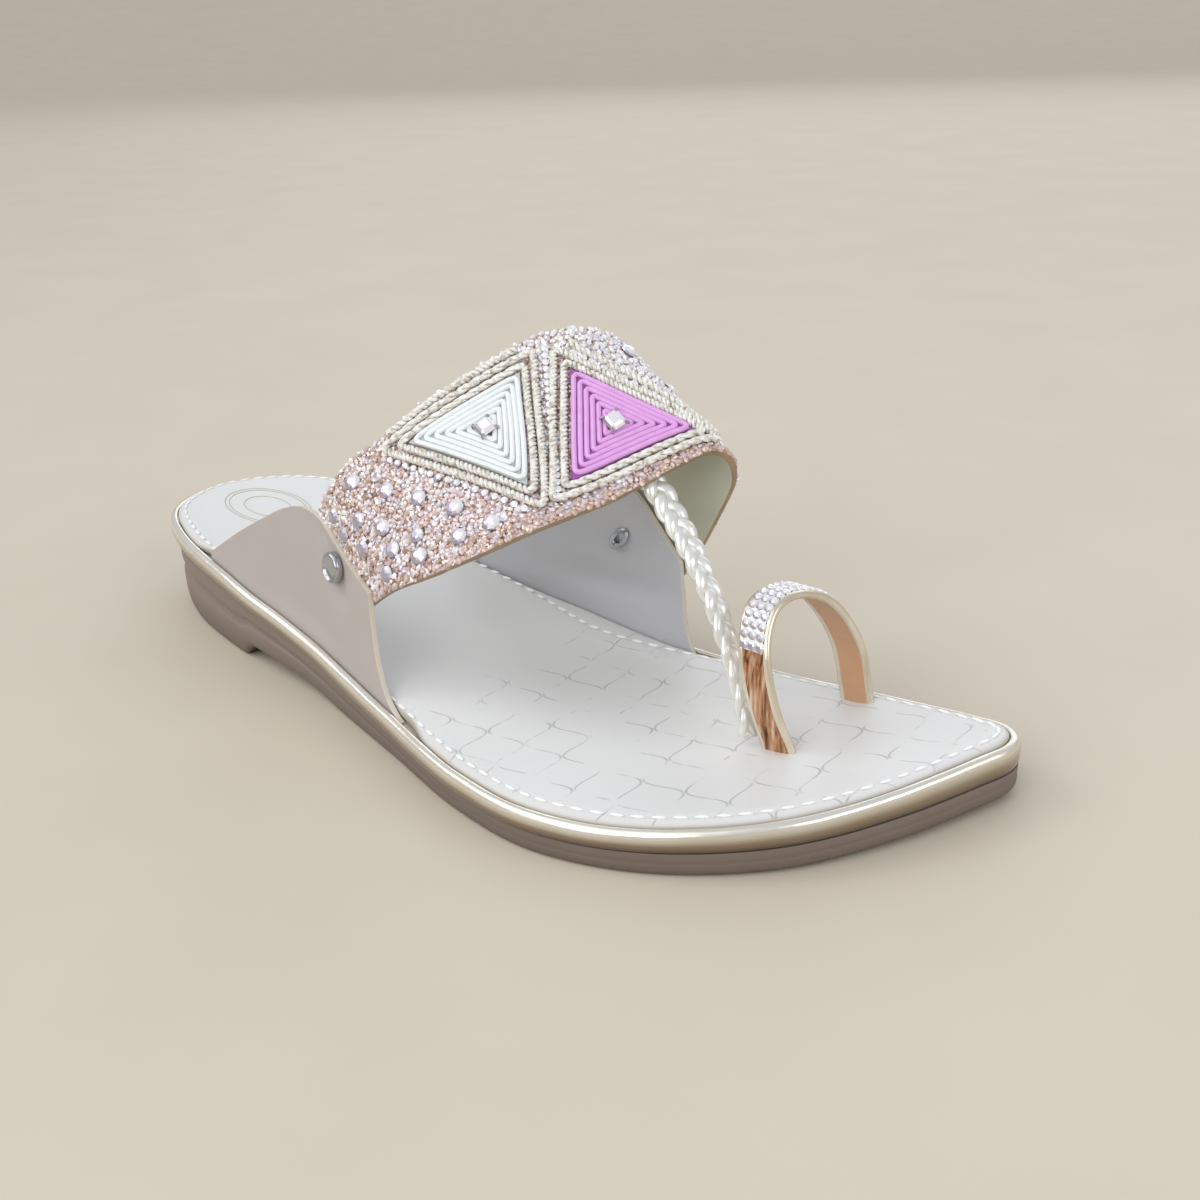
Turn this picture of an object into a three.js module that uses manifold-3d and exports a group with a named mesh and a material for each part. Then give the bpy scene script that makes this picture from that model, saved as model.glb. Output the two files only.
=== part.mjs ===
// Kolhapuri toe-loop sandal, right shoe, millimetres.
// +X runs from heel to toe, +Y towards the inner (medial) side, +Z up, the floor is z = 0.

import * as THREE from 'three';
import { mergeVertices } from 'three/addons/utils/BufferGeometryUtils.js';
import Module from 'manifold-3d';

const wasm = await Module();
wasm.setup();

// Footbed and sole sizes
const footbedLength = 250;
const ballWidth = 80;
const heelLift = 27.6;
const ballLift = 10.4;
const toeLift = 4;
const insoleThickness = 2.2;
const grooveWidth = 1.9;
const beadReach = 2.3;
const beadLip = 0.9;
const rimThickness = 5.4;
const outsoleHeelReach = 0.5;
const outsoleToeReach = 2;
const outsoleStep = 0.6;
const treadRound = 1.4;
const archRise = 4;
const soleToeRise = 1.8;
const heelBevel = 1.6;
const lugPitch = 8;
const lugGap = 2.4;
const lugDepth = 1.4;
const lugMargin = 7;
const lugRange = { start: 0.05, end: 0.82 };

// Strap sizes
const wingWall = 1.3;
const wingHeight = 32;
const wingBow = 5;
const wingBowSkew = 0.65;
const bandWall = 2.4;
const bandRise = 78.6;
const braidTopWidth = 5.4;
const braidFootWidth = 4.2;
const braidThickness = 2.8;
const braidPitch = 8.5;
const braidBulge = 0.14;
const braidSlant = 2.2;
const loopSpan = 33;
const loopHeight = 30.5;
const loopStrapWidth = 7.4;
const loopWall = 2.6;
const loopLean = 9;

// Trim sizes
const triangleHeight = 1.7;
const ropeInner = 0.16;
const ropeOuter = 0.4;
const ropeHeight = 1.6;
const crystalWidth = 5.6;
const crystalHeight = 2.2;
const rivetHeadRadius = 4;
const rivetHeadHeight = 2;
const rivetShankRadius = 1.4;
const rivetBackRadius = 3;
const rivetBackHeight = 1.1;

// Clearance between pieces that touch, and the distance within which points are one
const gap = 0.3;
const weld = 1e-4;

// Rows of a table by their columns' names
const table = (columns, rows) => rows.map((row) => (
  Object.fromEntries(row.map((value, index) => [columns[index], value]))
));

// Outline of the footbed's bed in the rim, heel to toe along the outer side and back along the inner.
// along is a share of footbedLength from the heel, across a share of ballWidth, inner side positive.
const outline = [
  { along: 0, across: 0.013 },
  { along: 0.028, across: -0.19 },
  { along: 0.1, across: -0.31 },
  { along: 0.24, across: -0.39 },
  { along: 0.388, across: -0.415 },
  { along: 0.532, across: -0.49 },
  { along: 0.66, across: -0.566 },
  { along: 0.752, across: -0.568 },
  { along: 0.84, across: -0.46 },
  { along: 0.92, across: -0.24 },
  { along: 0.9685, across: 0.04 },
  { along: 0.995, across: 0.31 },
  { along: 1.001, across: 0.4 },
  { along: 0.996, across: 0.46 },
  { along: 0.975, across: 0.498 },
  { along: 0.868, across: 0.495 },
  { along: 0.76, across: 0.441 },
  { along: 0.652, across: 0.402 },
  { along: 0.52, across: 0.395 },
  { along: 0.36, across: 0.339 },
  { along: 0.2, across: 0.362 },
  { along: 0.088, across: 0.366 },
  { along: 0.024, across: 0.213 },
];

// Side profile of the footbed: heel and toe are shares of their lifts above the ball.
const footbedProfile = [
  { along: 0, heel: 1, toe: 0 },
  { along: 0.1, heel: 0.95, toe: 0 },
  { along: 0.2, heel: 0.83, toe: 0 },
  { along: 0.3, heel: 0.6, toe: 0 },
  { along: 0.4, heel: 0.34, toe: 0 },
  { along: 0.5, heel: 0.15, toe: 0 },
  { along: 0.6, heel: 0.04, toe: 0 },
  { along: 0.7, heel: 0, toe: 0 },
  { along: 0.8, heel: 0, toe: 0.04 },
  { along: 0.88, heel: 0, toe: 0.28 },
  { along: 0.95, heel: 0, toe: 0.65 },
  { along: 1, heel: 0, toe: 1 },
];

// Underside: shares of the heel bevel, the arch rise and the toe rise.
const soleProfile = [
  { along: -0.01, bevel: 1, arch: 0, toe: 0 },
  { along: 0.035, bevel: 0, arch: 0, toe: 0 },
  { along: 0.235, bevel: 0, arch: 0, toe: 0 },
  { along: 0.262, bevel: 0, arch: 1, toe: 0 },
  { along: 0.33, bevel: 0, arch: 0.8, toe: 0 },
  { along: 0.46, bevel: 0, arch: 0, toe: 0 },
  { along: 0.83, bevel: 0, arch: 0, toe: 0 },
  { along: 0.92, bevel: 0, arch: 0, toe: 0.35 },
  { along: 1.01, bevel: 0, arch: 0, toe: 1 },
];

// Wings: a row is one line of the wing from its foot in the groove to its top edge.
// foot and top are shares of footbedLength, rise a share of wingHeight, bow a share of wingBow.
const wingRows = {
  lateral: [
    { foot: 0.184, top: 0.184, rise: 0.03, bow: 0 },
    { foot: 0.212, top: 0.214, rise: 0.19, bow: 0 },
    { foot: 0.252, top: 0.256, rise: 0.43, bow: 0 },
    { foot: 0.296, top: 0.3, rise: 0.67, bow: 0 },
    { foot: 0.336, top: 0.336, rise: 0.86, bow: 0 },
    { foot: 0.372, top: 0.366, rise: 0.97, bow: 0 },
    { foot: 0.404, top: 0.388, rise: 0.99, bow: 0 },
    { foot: 0.44, top: 0.412, rise: 0.95, bow: 0 },
    { foot: 0.476, top: 0.444, rise: 0.85, bow: 0.25 },
    { foot: 0.512, top: 0.472, rise: 0.78, bow: 0.6 },
    { foot: 0.554, top: 0.497, rise: 0.73, bow: 1 },
  ],
  medial: [
    { foot: 0.3, top: 0.3, rise: 0.03, bow: 0 },
    { foot: 0.328, top: 0.332, rise: 0.2, bow: 0 },
    { foot: 0.368, top: 0.376, rise: 0.45, bow: 0 },
    { foot: 0.412, top: 0.424, rise: 0.7, bow: 0 },
    { foot: 0.452, top: 0.468, rise: 0.9, bow: 0 },
    { foot: 0.492, top: 0.508, rise: 1.05, bow: 0 },
    { foot: 0.532, top: 0.544, rise: 1.15, bow: 0 },
    { foot: 0.568, top: 0.574, rise: 1.19, bow: 0 },
    { foot: 0.6, top: 0.598, rise: 1.16, bow: 0 },
    { foot: 0.632, top: 0.626, rise: 0.94, bow: 0.1 },
    { foot: 0.666, top: 0.652, rise: 0.7, bow: 0.3 },
  ],
};

// Inward lean of each wing for each millimetre of height
const wingLean = { lateral: 0.12, medial: 0.03 };

// Band: a row is one line of its outer face, from the rear edge to the front edge,
// starting under the outer wing and ending over the inner wing.
// Along is a share of footbedLength, across of ballWidth, up of bandRise above the ball.
// hug is 1 where the band lies against the wing.
const bandRows = table(
  ['rearAlong', 'rearAcross', 'rearUp', 'frontAlong', 'frontAcross', 'frontUp', 'hug'],
  [
    [0.376, -0.37, 0.376, 0.476, -0.416, 0.248, 1],
    [0.394, -0.356, 0.497, 0.508, -0.419, 0.318, 1],
    [0.412, -0.331, 0.58, 0.538, -0.406, 0.378, 0.7],
    [0.424, -0.281, 0.65, 0.582, -0.369, 0.452, 0],
    [0.444, -0.213, 0.717, 0.614, -0.306, 0.51, 0],
    [0.462, -0.113, 0.796, 0.64, -0.2, 0.56, 0],
    [0.484, -0.013, 0.868, 0.658, -0.075, 0.589, 0],
    [0.504, 0.075, 0.927, 0.67, 0.038, 0.609, 0],
    [0.526, 0.163, 0.977, 0.68, 0.15, 0.637, 0],
    [0.544, 0.25, 1, 0.69, 0.25, 0.666, 0],
    [0.56, 0.338, 0.987, 0.7, 0.35, 0.687, 0],
    [0.574, 0.413, 0.936, 0.707, 0.413, 0.656, 0],
    [0.58, 0.456, 0.847, 0.704, 0.45, 0.58, 0],
    [0.574, 0.469, 0.745, 0.694, 0.448, 0.497, 0.1],
    [0.56, 0.463, 0.63, 0.676, 0.425, 0.376, 0.6],
    [0.542, 0.444, 0.503, 0.658, 0.406, 0.287, 1],
    [0.516, 0.425, 0.35, 0.64, 0.413, 0.21, 1],
  ],
);

// Corners of the two cord triangles on the band: round runs from the outer end to the inner end,
// down from the rear edge to the front edge.
const triangleCorners = {
  lateral: [{ round: 0.275, down: 0.165 }, { round: 0.456, down: 0.165 }, { round: 0.35, down: 0.76 }],
  medial: [{ round: 0.521, down: 0.27 }, { round: 0.403, down: 0.83 }, { round: 0.625, down: 0.85 }],
};

// Toe loop: a row is one line of the strap's middle face, from the outer foot over to the inner foot.
// up is a share of loopHeight, front and rear are shares of loopSpan from the loop's middle.
const loopRows = table(['up', 'front', 'rear'], [
  [-0.06, -0.415, -0.455],
  [0.05, -0.43, -0.47],
  [0.35, -0.485, -0.5],
  [0.7, -0.45, -0.46],
  [0.93, -0.3, -0.31],
  [0.98, -0.07, -0.07],
  [0.885, 0.2, 0.18],
  [0.7, 0.39, 0.34],
  [0.4, 0.505, 0.45],
  [0.06, 0.475, 0.435],
  [-0.06, 0.455, 0.42],
]);
const loopPlace = { along: 0.851, across: 0.231 };

// Braid route from under the band's front edge to the footbed beside the toe loop, in the band's shares.
const braidRoute = table(['along', 'across', 'up'], [
  [0.656, 0.206, 0.637],
  [0.681, 0.191, 0.589],
  [0.695, 0.176, 0.556],
  [0.709, 0.16, 0.529],
  [0.726, 0.14, 0.491],
  [0.742, 0.121, 0.45],
  [0.768, 0.094, 0.363],
  [0.789, 0.069, 0.271],
  [0.808, 0.045, 0.178],
  [0.819, 0.03, 0.099],
  [0.826, 0.022, 0.025],
]);

// Rivet places: along is a share of footbedLength, up a share of bandRise above the ball.
const rivetPlaces = {
  lateral: { along: 0.432, up: 0.35 },
  medial: { along: 0.568, up: 0.312 },
};

const colours = {
  outsole: 0x8c7f78,
  rim: 0xd8c7a6,
  insole: 0xdcd9d6,
  wing: 0xb8aca3,
  band: 0xcfb39a,
  whiteCord: 0xf2f6f6,
  pinkCord: 0xd982e0,
  rope: 0xe0d8bc,
  crystal: 0xf4eef4,
  rivet: 0xb9bcc0,
  braid: 0xdfe0dc,
  loop: 0xc89a78,
};

// Curve through a column of a table: smooth, and flat where two rows hold the same value.
function follow(rows, key, column, at) {
  const last = rows.length - 1;
  if (at <= rows[0][key]) return rows[0][column];
  if (at >= rows[last][key]) return rows[last][column];
  const slope = (index) => {
    const step = rows[index + 1][key] - rows[index][key];
    return (rows[index + 1][column] - rows[index][column]) / step;
  };
  const tangent = (index) => {
    if (index === 0 || index === last) return 0;
    const before = slope(index - 1);
    const after = slope(index);
    return before * after <= 0 ? 0 : (2 * before * after) / (before + after);
  };
  let row = 0;
  while (at > rows[row + 1][key]) row += 1;
  const width = rows[row + 1][key] - rows[row][key];
  const t = (at - rows[row][key]) / width;
  const rise = t * t * (3 - 2 * t);
  const enter = t * (1 - t) * (1 - t) * width * tangent(row);
  const leave = t * t * (t - 1) * width * tangent(row + 1);
  return rows[row][column] + (rows[row + 1][column] - rows[row][column]) * rise + enter + leave;
}

// Smooth column of a table whose rows are evenly spread over 0 to 1.
function blend(rows, column, share) {
  const last = rows.length - 1;
  const place = THREE.MathUtils.clamp(share, 0, 1) * last;
  const row = Math.min(Math.floor(place), last - 1);
  const t = place - row;
  const value = (index) => rows[THREE.MathUtils.clamp(index, 0, last)][column];
  const [a, b, c, d] = [value(row - 1), value(row), value(row + 1), value(row + 2)];
  const linear = c - a;
  const square = 2 * a - 5 * b + 4 * c - d;
  const cube = 3 * b - a - 3 * c + d;
  return 0.5 * (2 * b + linear * t + square * t * t + cube * t * t * t);
}

const alongToX = (along) => (along - 0.5) * footbedLength;
const xToAlong = (x) => x / footbedLength + 0.5;

function footbedTop(x) {
  const along = xToAlong(x);
  const heel = follow(footbedProfile, 'along', 'heel', along);
  const toe = follow(footbedProfile, 'along', 'toe', along);
  return ballLift + (heelLift - ballLift) * heel + toeLift * toe;
}

function soleBottom(x) {
  const along = xToAlong(x);
  const bevel = heelBevel * follow(soleProfile, 'along', 'bevel', along);
  const arch = archRise * follow(soleProfile, 'along', 'arch', along);
  return bevel + arch + soleToeRise * follow(soleProfile, 'along', 'toe', along);
}

// The outline as two matched rows of points, heel to toe, with outward directions.
// The stations lie closer together at the round ends.
const stations = 36;

function splitOutline() {
  const points = outline.map((row) => new THREE.Vector3(alongToX(row.along), row.across * ballWidth, 0));
  const curve = new THREE.CatmullRomCurve3(points, true, 'centripetal');
  const count = 1200;
  const ring = curve.getSpacedPoints(count).slice(0, count);
  const heel = ring.reduce((best, point, index) => (point.x < ring[best].x ? index : best), 0);
  const toe = ring.reduce((best, point, index) => (point.x > ring[best].x ? index : best), 0);
  const walk = (from, to, step) => {
    const length = step > 0 ? (to - from + count) % count : (from - to + count) % count;
    return Array.from({ length: stations + 1 }, (_, station) => {
      const even = station / stations;
      const share = even * 0.3 + (1 - Math.cos(Math.PI * even)) * 0.35;
      const offset = Math.round(share * length) * step;
      const index = (from + offset + count * 2) % count;
      const before = ring[(index - 3 + count) % count];
      const after = ring[(index + 3) % count];
      const tangent = after.clone().sub(before).normalize();
      return { point: ring[index], outward: new THREE.Vector3(tangent.y, -tangent.x, 0) };
    });
  };
  return { lateral: walk(heel, toe, 1), medial: walk(heel, toe, -1) };
}

const edge = splitOutline();

// Across position of the outline at a place along the shoe.
function edgeAcross(side, x) {
  const row = edge[side];
  let index = 0;
  while (index < stations - 1 && row[index + 1].point.x < x) index += 1;
  const [a, b] = [row[index].point, row[index + 1].point];
  return a.y + (b.y - a.y) * THREE.MathUtils.clamp((x - a.x) / (b.x - a.x), 0, 1);
}

// One closed body from loose triangles, faces outward.
function closedBody(triangles) {
  const positions = [];
  for (const [a, b, c] of triangles) {
    const area = b.clone().sub(a).cross(c.clone().sub(a)).length();
    if (area > 1e-7) positions.push(...a.toArray(), ...b.toArray(), ...c.toArray());
  }
  const loose = new THREE.BufferGeometry();
  loose.setAttribute('position', new THREE.Float32BufferAttribute(positions, 3));
  const geometry = mergeVertices(loose, weld);
  if (signedVolume(geometry) < 0) {
    const index = geometry.getIndex();
    for (let i = 0; i < index.count; i += 3) {
      const held = index.getX(i);
      index.setX(i, index.getX(i + 1));
      index.setX(i + 1, held);
    }
  }
  return geometry;
}

function signedVolume(geometry) {
  const position = geometry.getAttribute('position');
  const index = geometry.getIndex();
  const corner = (i) => new THREE.Vector3().fromBufferAttribute(position, index.getX(i));
  let volume = 0;
  for (let i = 0; i < index.count; i += 3) {
    volume += corner(i).dot(corner(i + 1).cross(corner(i + 2)));
  }
  return volume / 6;
}

function quad(triangles, a, b, c, d) {
  triangles.push([a, b, c], [a, c, d]);
}

// Body between two faces given as grids of points.
function sheetBody(outer, inner) {
  const triangles = [];
  const [rows, columns] = [outer.length - 1, outer[0].length - 1];
  for (let i = 0; i < rows; i += 1) {
    for (let j = 0; j < columns; j += 1) {
      quad(triangles, outer[i][j], outer[i + 1][j], outer[i + 1][j + 1], outer[i][j + 1]);
      quad(triangles, inner[i][j], inner[i][j + 1], inner[i + 1][j + 1], inner[i + 1][j]);
    }
  }
  for (let i = 0; i < rows; i += 1) {
    quad(triangles, outer[i][0], inner[i][0], inner[i + 1][0], outer[i + 1][0]);
    quad(triangles, outer[i + 1][columns], inner[i + 1][columns], inner[i][columns], outer[i][columns]);
  }
  for (let j = 0; j < columns; j += 1) {
    quad(triangles, outer[0][j + 1], inner[0][j + 1], inner[0][j], outer[0][j]);
    quad(triangles, outer[rows][j], inner[rows][j], inner[rows][j + 1], outer[rows][j + 1]);
  }
  return closedBody(triangles);
}

// Body through a row of closed rings. Open ends get a flat fan, a closed sweep joins its ends.
function sweepBody(rings, closed = false) {
  const triangles = [];
  const count = rings[0].length;
  const spans = closed ? rings.length : rings.length - 1;
  for (let i = 0; i < spans; i += 1) {
    const next = rings[(i + 1) % rings.length];
    for (let j = 0; j < count; j += 1) {
      const k = (j + 1) % count;
      quad(triangles, rings[i][j], rings[i][k], next[k], next[j]);
    }
  }
  if (!closed) {
    for (const [ring, flip] of [[rings[0], true], [rings[rings.length - 1], false]]) {
      const middle = ring.reduce((sum, point) => sum.add(point), new THREE.Vector3()).divideScalar(count);
      ring.forEach((point, j) => {
        const next = ring[(j + 1) % count];
        triangles.push(flip ? [middle, next, point] : [middle, point, next]);
      });
    }
  }
  return closedBody(triangles);
}

// Sole layer: rings of the outline from the bottom up, closed by a bottom face and a top face.
// Each level has an outset from the outline, which may follow x, and a height at x.
function layerBody(levels) {
  const crossSteps = 5;
  const ringOf = ({ outset, height }) => {
    const place = ({ point, outward }) => {
      const reach = outset instanceof Function ? outset(point.x) : outset;
      const moved = point.clone().addScaledVector(outward, reach);
      return moved.setZ(height(moved.x));
    };
    return { lateral: edge.lateral.map(place), medial: edge.medial.map(place) };
  };
  const triangles = [];
  const rings = levels.map(ringOf);
  for (let level = 0; level + 1 < rings.length; level += 1) {
    for (const side of ['lateral', 'medial']) {
      const flip = side === 'medial';
      const low = rings[level][side];
      const high = rings[level + 1][side];
      for (let i = 0; i < stations; i += 1) {
        if (flip) quad(triangles, low[i + 1], low[i], high[i], high[i + 1]);
        else quad(triangles, low[i], low[i + 1], high[i + 1], high[i]);
      }
    }
  }
  const face = (ring, height, flip) => {
    const at = (i, j) => {
      if (j === 0) return ring.lateral[i];
      if (j === crossSteps) return ring.medial[i];
      const point = ring.lateral[i].clone().lerp(ring.medial[i], j / crossSteps);
      return point.setZ(height(point.x));
    };
    for (let i = 0; i < stations; i += 1) {
      for (let j = 0; j < crossSteps; j += 1) {
        const corners = [at(i, j), at(i + 1, j), at(i + 1, j + 1), at(i, j + 1)];
        if (flip) corners.reverse();
        quad(triangles, ...corners);
      }
    }
  };
  face(rings[0], levels[0].height, true);
  face(rings[rings.length - 1], levels[levels.length - 1].height, false);
  return closedBody(triangles);
}

function toSolid(geometry) {
  const bare = geometry.clone();
  bare.deleteAttribute('normal');
  bare.deleteAttribute('uv');
  const merged = mergeVertices(bare, weld);
  return new wasm.Manifold(new wasm.Mesh({
    numProp: 3,
    vertProperties: new Float32Array(merged.getAttribute('position').array),
    triVerts: new Uint32Array(merged.getIndex().array),
  }));
}

function toGeometry(solid) {
  const mesh = solid.getMesh();
  const geometry = new THREE.BufferGeometry();
  geometry.setAttribute('position', new THREE.Float32BufferAttribute(mesh.vertProperties, 3));
  geometry.setIndex(new THREE.Uint32BufferAttribute(mesh.triVerts, 1));
  return geometry;
}

function cut(geometry, tools) {
  const solid = tools.reduce((left, tool) => left.subtract(toSolid(tool)), toSolid(geometry));
  return toGeometry(solid);
}

// Outsole: bevelled tread edge, a step round its wall, straight lugs under heel and forefoot.
function outsole() {
  const top = (x) => footbedTop(x) - rimThickness - gap;
  const share = (part) => (x) => soleBottom(x) + (top(x) - soleBottom(x)) * part;
  const reach = (inset) => (x) => (
    outsoleHeelReach + (outsoleToeReach - outsoleHeelReach) * xToAlong(x) - inset
  );
  const body = layerBody([
    { outset: reach(treadRound), height: share(0) },
    { outset: reach(treadRound * 0.1), height: share(0.16) },
    { outset: reach(0), height: share(0.44) },
    { outset: reach(outsoleStep), height: share(0.5) },
    { outset: reach(outsoleStep), height: share(0.58) },
    { outset: reach(0), height: share(0.64) },
    { outset: reach(0), height: share(1) },
  ]);
  const grooves = [];
  for (let x = alongToX(lugRange.start); x < alongToX(lugRange.end); x += lugPitch) {
    const low = soleBottom(x - lugGap) + soleBottom(x + lugGap);
    if (low === 0) {
      const outer = edgeAcross('lateral', x) + lugMargin;
      const inner = edgeAcross('medial', x) - lugMargin;
      const groove = new THREE.BoxGeometry(lugGap, inner - outer, lugDepth * 2);
      grooves.push(groove.translate(x, (inner + outer) / 2, 0));
    }
  }
  return cut(body, grooves);
}

const bedFloor = (x) => footbedTop(x) - insoleThickness - gap;

// Rim: the board under the footbed, with a round bead standing proud of it all round.
function rim() {
  const drop = (depth) => (x) => footbedTop(x) - depth;
  return layerBody([
    { outset: 0.4, height: drop(rimThickness) },
    { outset: beadReach * 0.55, height: drop(rimThickness * 0.96) },
    { outset: beadReach * 0.88, height: drop(rimThickness * 0.8) },
    { outset: beadReach, height: drop(rimThickness * 0.58) },
    { outset: beadReach * 0.94, height: drop(rimThickness * 0.36) },
    { outset: beadReach * 0.7, height: drop(beadLip + 0.35) },
    { outset: beadReach * 0.35, height: drop(beadLip) },
    { outset: 0, height: drop(beadLip + 0.3) },
    { outset: 0, height: bedFloor },
  ]);
}

function toeLoopRings(wall, width) {
  const steps = 28;
  const middleX = alongToX(loopPlace.along);
  const middleY = loopPlace.across * ballWidth;
  const base = footbedTop(middleX);
  const at = (share) => {
    const up = blend(loopRows, 'up', share);
    const x = middleX - loopLean * Math.max(up, 0);
    const z = base + up * loopHeight;
    const front = new THREE.Vector3(x + width / 2, middleY + blend(loopRows, 'front', share) * loopSpan, z);
    const rear = new THREE.Vector3(x - width / 2, middleY + blend(loopRows, 'rear', share) * loopSpan, z);
    return { front, rear, middle: front.clone().add(rear).multiplyScalar(0.5) };
  };
  return Array.from({ length: steps + 1 }, (_, step) => {
    const share = step / steps;
    const { front, rear, middle } = at(share);
    const run = at(Math.min(share + 0.01, 1)).middle.sub(at(Math.max(share - 0.01, 0)).middle);
    const reach = front.clone().sub(rear).multiplyScalar(0.5);
    const face = run.clone().cross(reach).normalize().multiplyScalar(wall / 2);
    const corner = (across, out) => (
      middle.clone().addScaledVector(reach, across).addScaledVector(face, out)
    );
    return [
      corner(-1, -0.5), corner(-0.85, -1), corner(0.85, -1), corner(1, -0.5),
      corner(1, 0.5), corner(0.85, 1), corner(-0.85, 1), corner(-1, 0.5),
    ];
  });
}

function toeLoop() {
  return sweepBody(toeLoopRings(loopWall, loopStrapWidth));
}

// Insole: padded sheet in the rim's bed, with a slot for each foot of the toe loop.
function insole() {
  const drop = (depth) => (x) => footbedTop(x) - depth;
  const body = layerBody([
    { outset: -grooveWidth - 0.5, height: drop(insoleThickness) },
    { outset: -grooveWidth, height: drop(insoleThickness - 0.4) },
    { outset: -grooveWidth, height: drop(0.8) },
    { outset: -grooveWidth - 0.6, height: drop(0.15) },
    { outset: -grooveWidth - 2, height: drop(-0.15) },
  ]);
  const rings = toeLoopRings(loopWall + gap * 2, loopStrapWidth + gap * 2);
  const deeper = (ring) => ring.map((point) => point.clone().setZ(point.z - insoleThickness));
  const slot = sweepBody([deeper(rings[0]), ...rings, deeper(rings[rings.length - 1])]);
  return cut(body, [slot]);
}

// The side wall that wings and band ends share: a place across at x and z.
function sideWall(side, x, z) {
  const inward = side === 'lateral' ? 1 : -1;
  const above = Math.max(0, z - footbedTop(x) - 1);
  return edgeAcross(side, x) + inward * (grooveWidth / 2 + wingLean[side] * above);
}

function wing(side) {
  const rows = wingRows[side];
  const columns = 22;
  const lines = 7;
  const face = (offset) => Array.from({ length: columns + 1 }, (_, column) => {
    const share = column / columns;
    const foot = alongToX(blend(rows, 'foot', share));
    const top = alongToX(blend(rows, 'top', share));
    const low = bedFloor(foot) + gap;
    const high = footbedTop(top) + blend(rows, 'rise', share) * wingHeight;
    const bow = blend(rows, 'bow', share) * wingBow;
    return Array.from({ length: lines + 1 }, (_, line) => {
      const up = line / lines;
      const x = foot + (top - foot) * up - bow * Math.sin(Math.PI * up ** wingBowSkew);
      const z = low + (high - low) * up;
      return new THREE.Vector3(x, sideWall(side, x, z) + offset, z);
    });
  });
  return cut(sheetBody(face(-wingWall / 2), face(wingWall / 2)), [rivetHole(side)]);
}

// Outer face of the band at shares round (outer to inner end) and down (rear to front edge).
function bandPoint(round, down) {
  const at = (column) => blend(bandRows, column, round);
  const along = THREE.MathUtils.lerp(at('rearAlong'), at('frontAlong'), down);
  const across = THREE.MathUtils.lerp(at('rearAcross'), at('frontAcross'), down);
  const up = THREE.MathUtils.lerp(at('rearUp'), at('frontUp'), down);
  const point = new THREE.Vector3(alongToX(along), across * ballWidth, ballLift + up * bandRise);
  const side = round < 0.5 ? 'lateral' : 'medial';
  const clear = wingWall / 2 + gap + (side === 'medial' ? bandWall : 0);
  const hug = THREE.MathUtils.clamp(at('hug'), 0, 1);
  point.y = THREE.MathUtils.lerp(point.y, sideWall(side, point.x, point.z) + clear, hug);
  return point;
}

function bandNormal(round, down) {
  const step = 0.004;
  const [left, right] = [Math.max(round - step, 0), Math.min(round + step, 1)];
  const [back, front] = [Math.max(down - step, 0), Math.min(down + step, 1)];
  const alongBand = bandPoint(right, down).sub(bandPoint(left, down));
  const downBand = bandPoint(round, front).sub(bandPoint(round, back));
  return downBand.cross(alongBand).normalize();
}

const onBand = (round, down, lift) => bandPoint(round, down).addScaledVector(bandNormal(round, down), lift);

function band() {
  const columns = 52;
  const lines = 6;
  const face = (lift) => Array.from({ length: columns + 1 }, (_, column) => (
    Array.from({ length: lines + 1 }, (_, line) => onBand(column / columns, line / lines, lift))
  ));
  return cut(sheetBody(face(0), face(-bandWall)), [rivetHole('lateral'), rivetHole('medial')]);
}

// Place on a triangle of the band from its corners' weights.
function onTriangle(corners, weights, lift) {
  const round = corners.reduce((sum, corner, i) => sum + corner.round * weights[i], 0);
  const down = corners.reduce((sum, corner, i) => sum + corner.down * weights[i], 0);
  return onBand(round, down, lift);
}

// Cord triangle: a low pad that follows the band, highest in the middle.
function cordTriangle(side) {
  const corners = triangleCorners[side];
  const steps = 8;
  const triangles = [];
  const at = (i, j, upper) => {
    const weights = [1 - (i + j) / steps, i / steps, j / steps];
    const inside = Math.min(...weights);
    const crown = Math.min(1, 0.6 + inside * 3);
    return onTriangle(corners, weights, upper ? gap + triangleHeight * crown : gap);
  };
  for (const upper of [true, false]) {
    for (let i = 0; i < steps; i += 1) {
      for (let j = 0; i + j < steps; j += 1) {
        const first = [at(i, j, upper), at(i + 1, j, upper), at(i, j + 1, upper)];
        triangles.push(upper ? first : first.reverse());
        if (i + j < steps - 1) {
          const second = [at(i + 1, j, upper), at(i + 1, j + 1, upper), at(i, j + 1, upper)];
          triangles.push(upper ? second : second.reverse());
        }
      }
    }
  }
  for (let k = 0; k < steps; k += 1) {
    quad(triangles, at(k, 0, false), at(k + 1, 0, false), at(k + 1, 0, true), at(k, 0, true));
    quad(triangles, at(0, k + 1, false), at(0, k, false), at(0, k, true), at(0, k + 1, true));
    const [i, next] = [steps - k, steps - k - 1];
    quad(triangles, at(i, k, false), at(next, k + 1, false), at(next, k + 1, true), at(i, k, true));
  }
  return closedBody(triangles);
}

// Rope frame: a low ridge round a triangle, its corners pushed out by a share of the triangle.
function ropeFrame(side) {
  const corners = triangleCorners[side];
  const steps = 12;
  const rings = [];
  for (let k = 0; k < 3; k += 1) {
    for (let step = 0; step < steps; step += 1) {
      const share = step / steps;
      const weights = [0, 0, 0];
      weights[k] = 1 - share;
      weights[(k + 1) % 3] = share;
      const ring = [[0, 0], [0, 1], [1, 1], [1, 0]].map(([out, up]) => {
        const push = ropeInner + out * (ropeOuter - ropeInner);
        const spread = (weight) => weight + (weight - 1 / 3) * push;
        return onTriangle(corners, weights.map(spread), gap + up * ropeHeight);
      });
      rings.push(ring);
    }
  }
  return sweepBody(rings, true);
}

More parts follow.
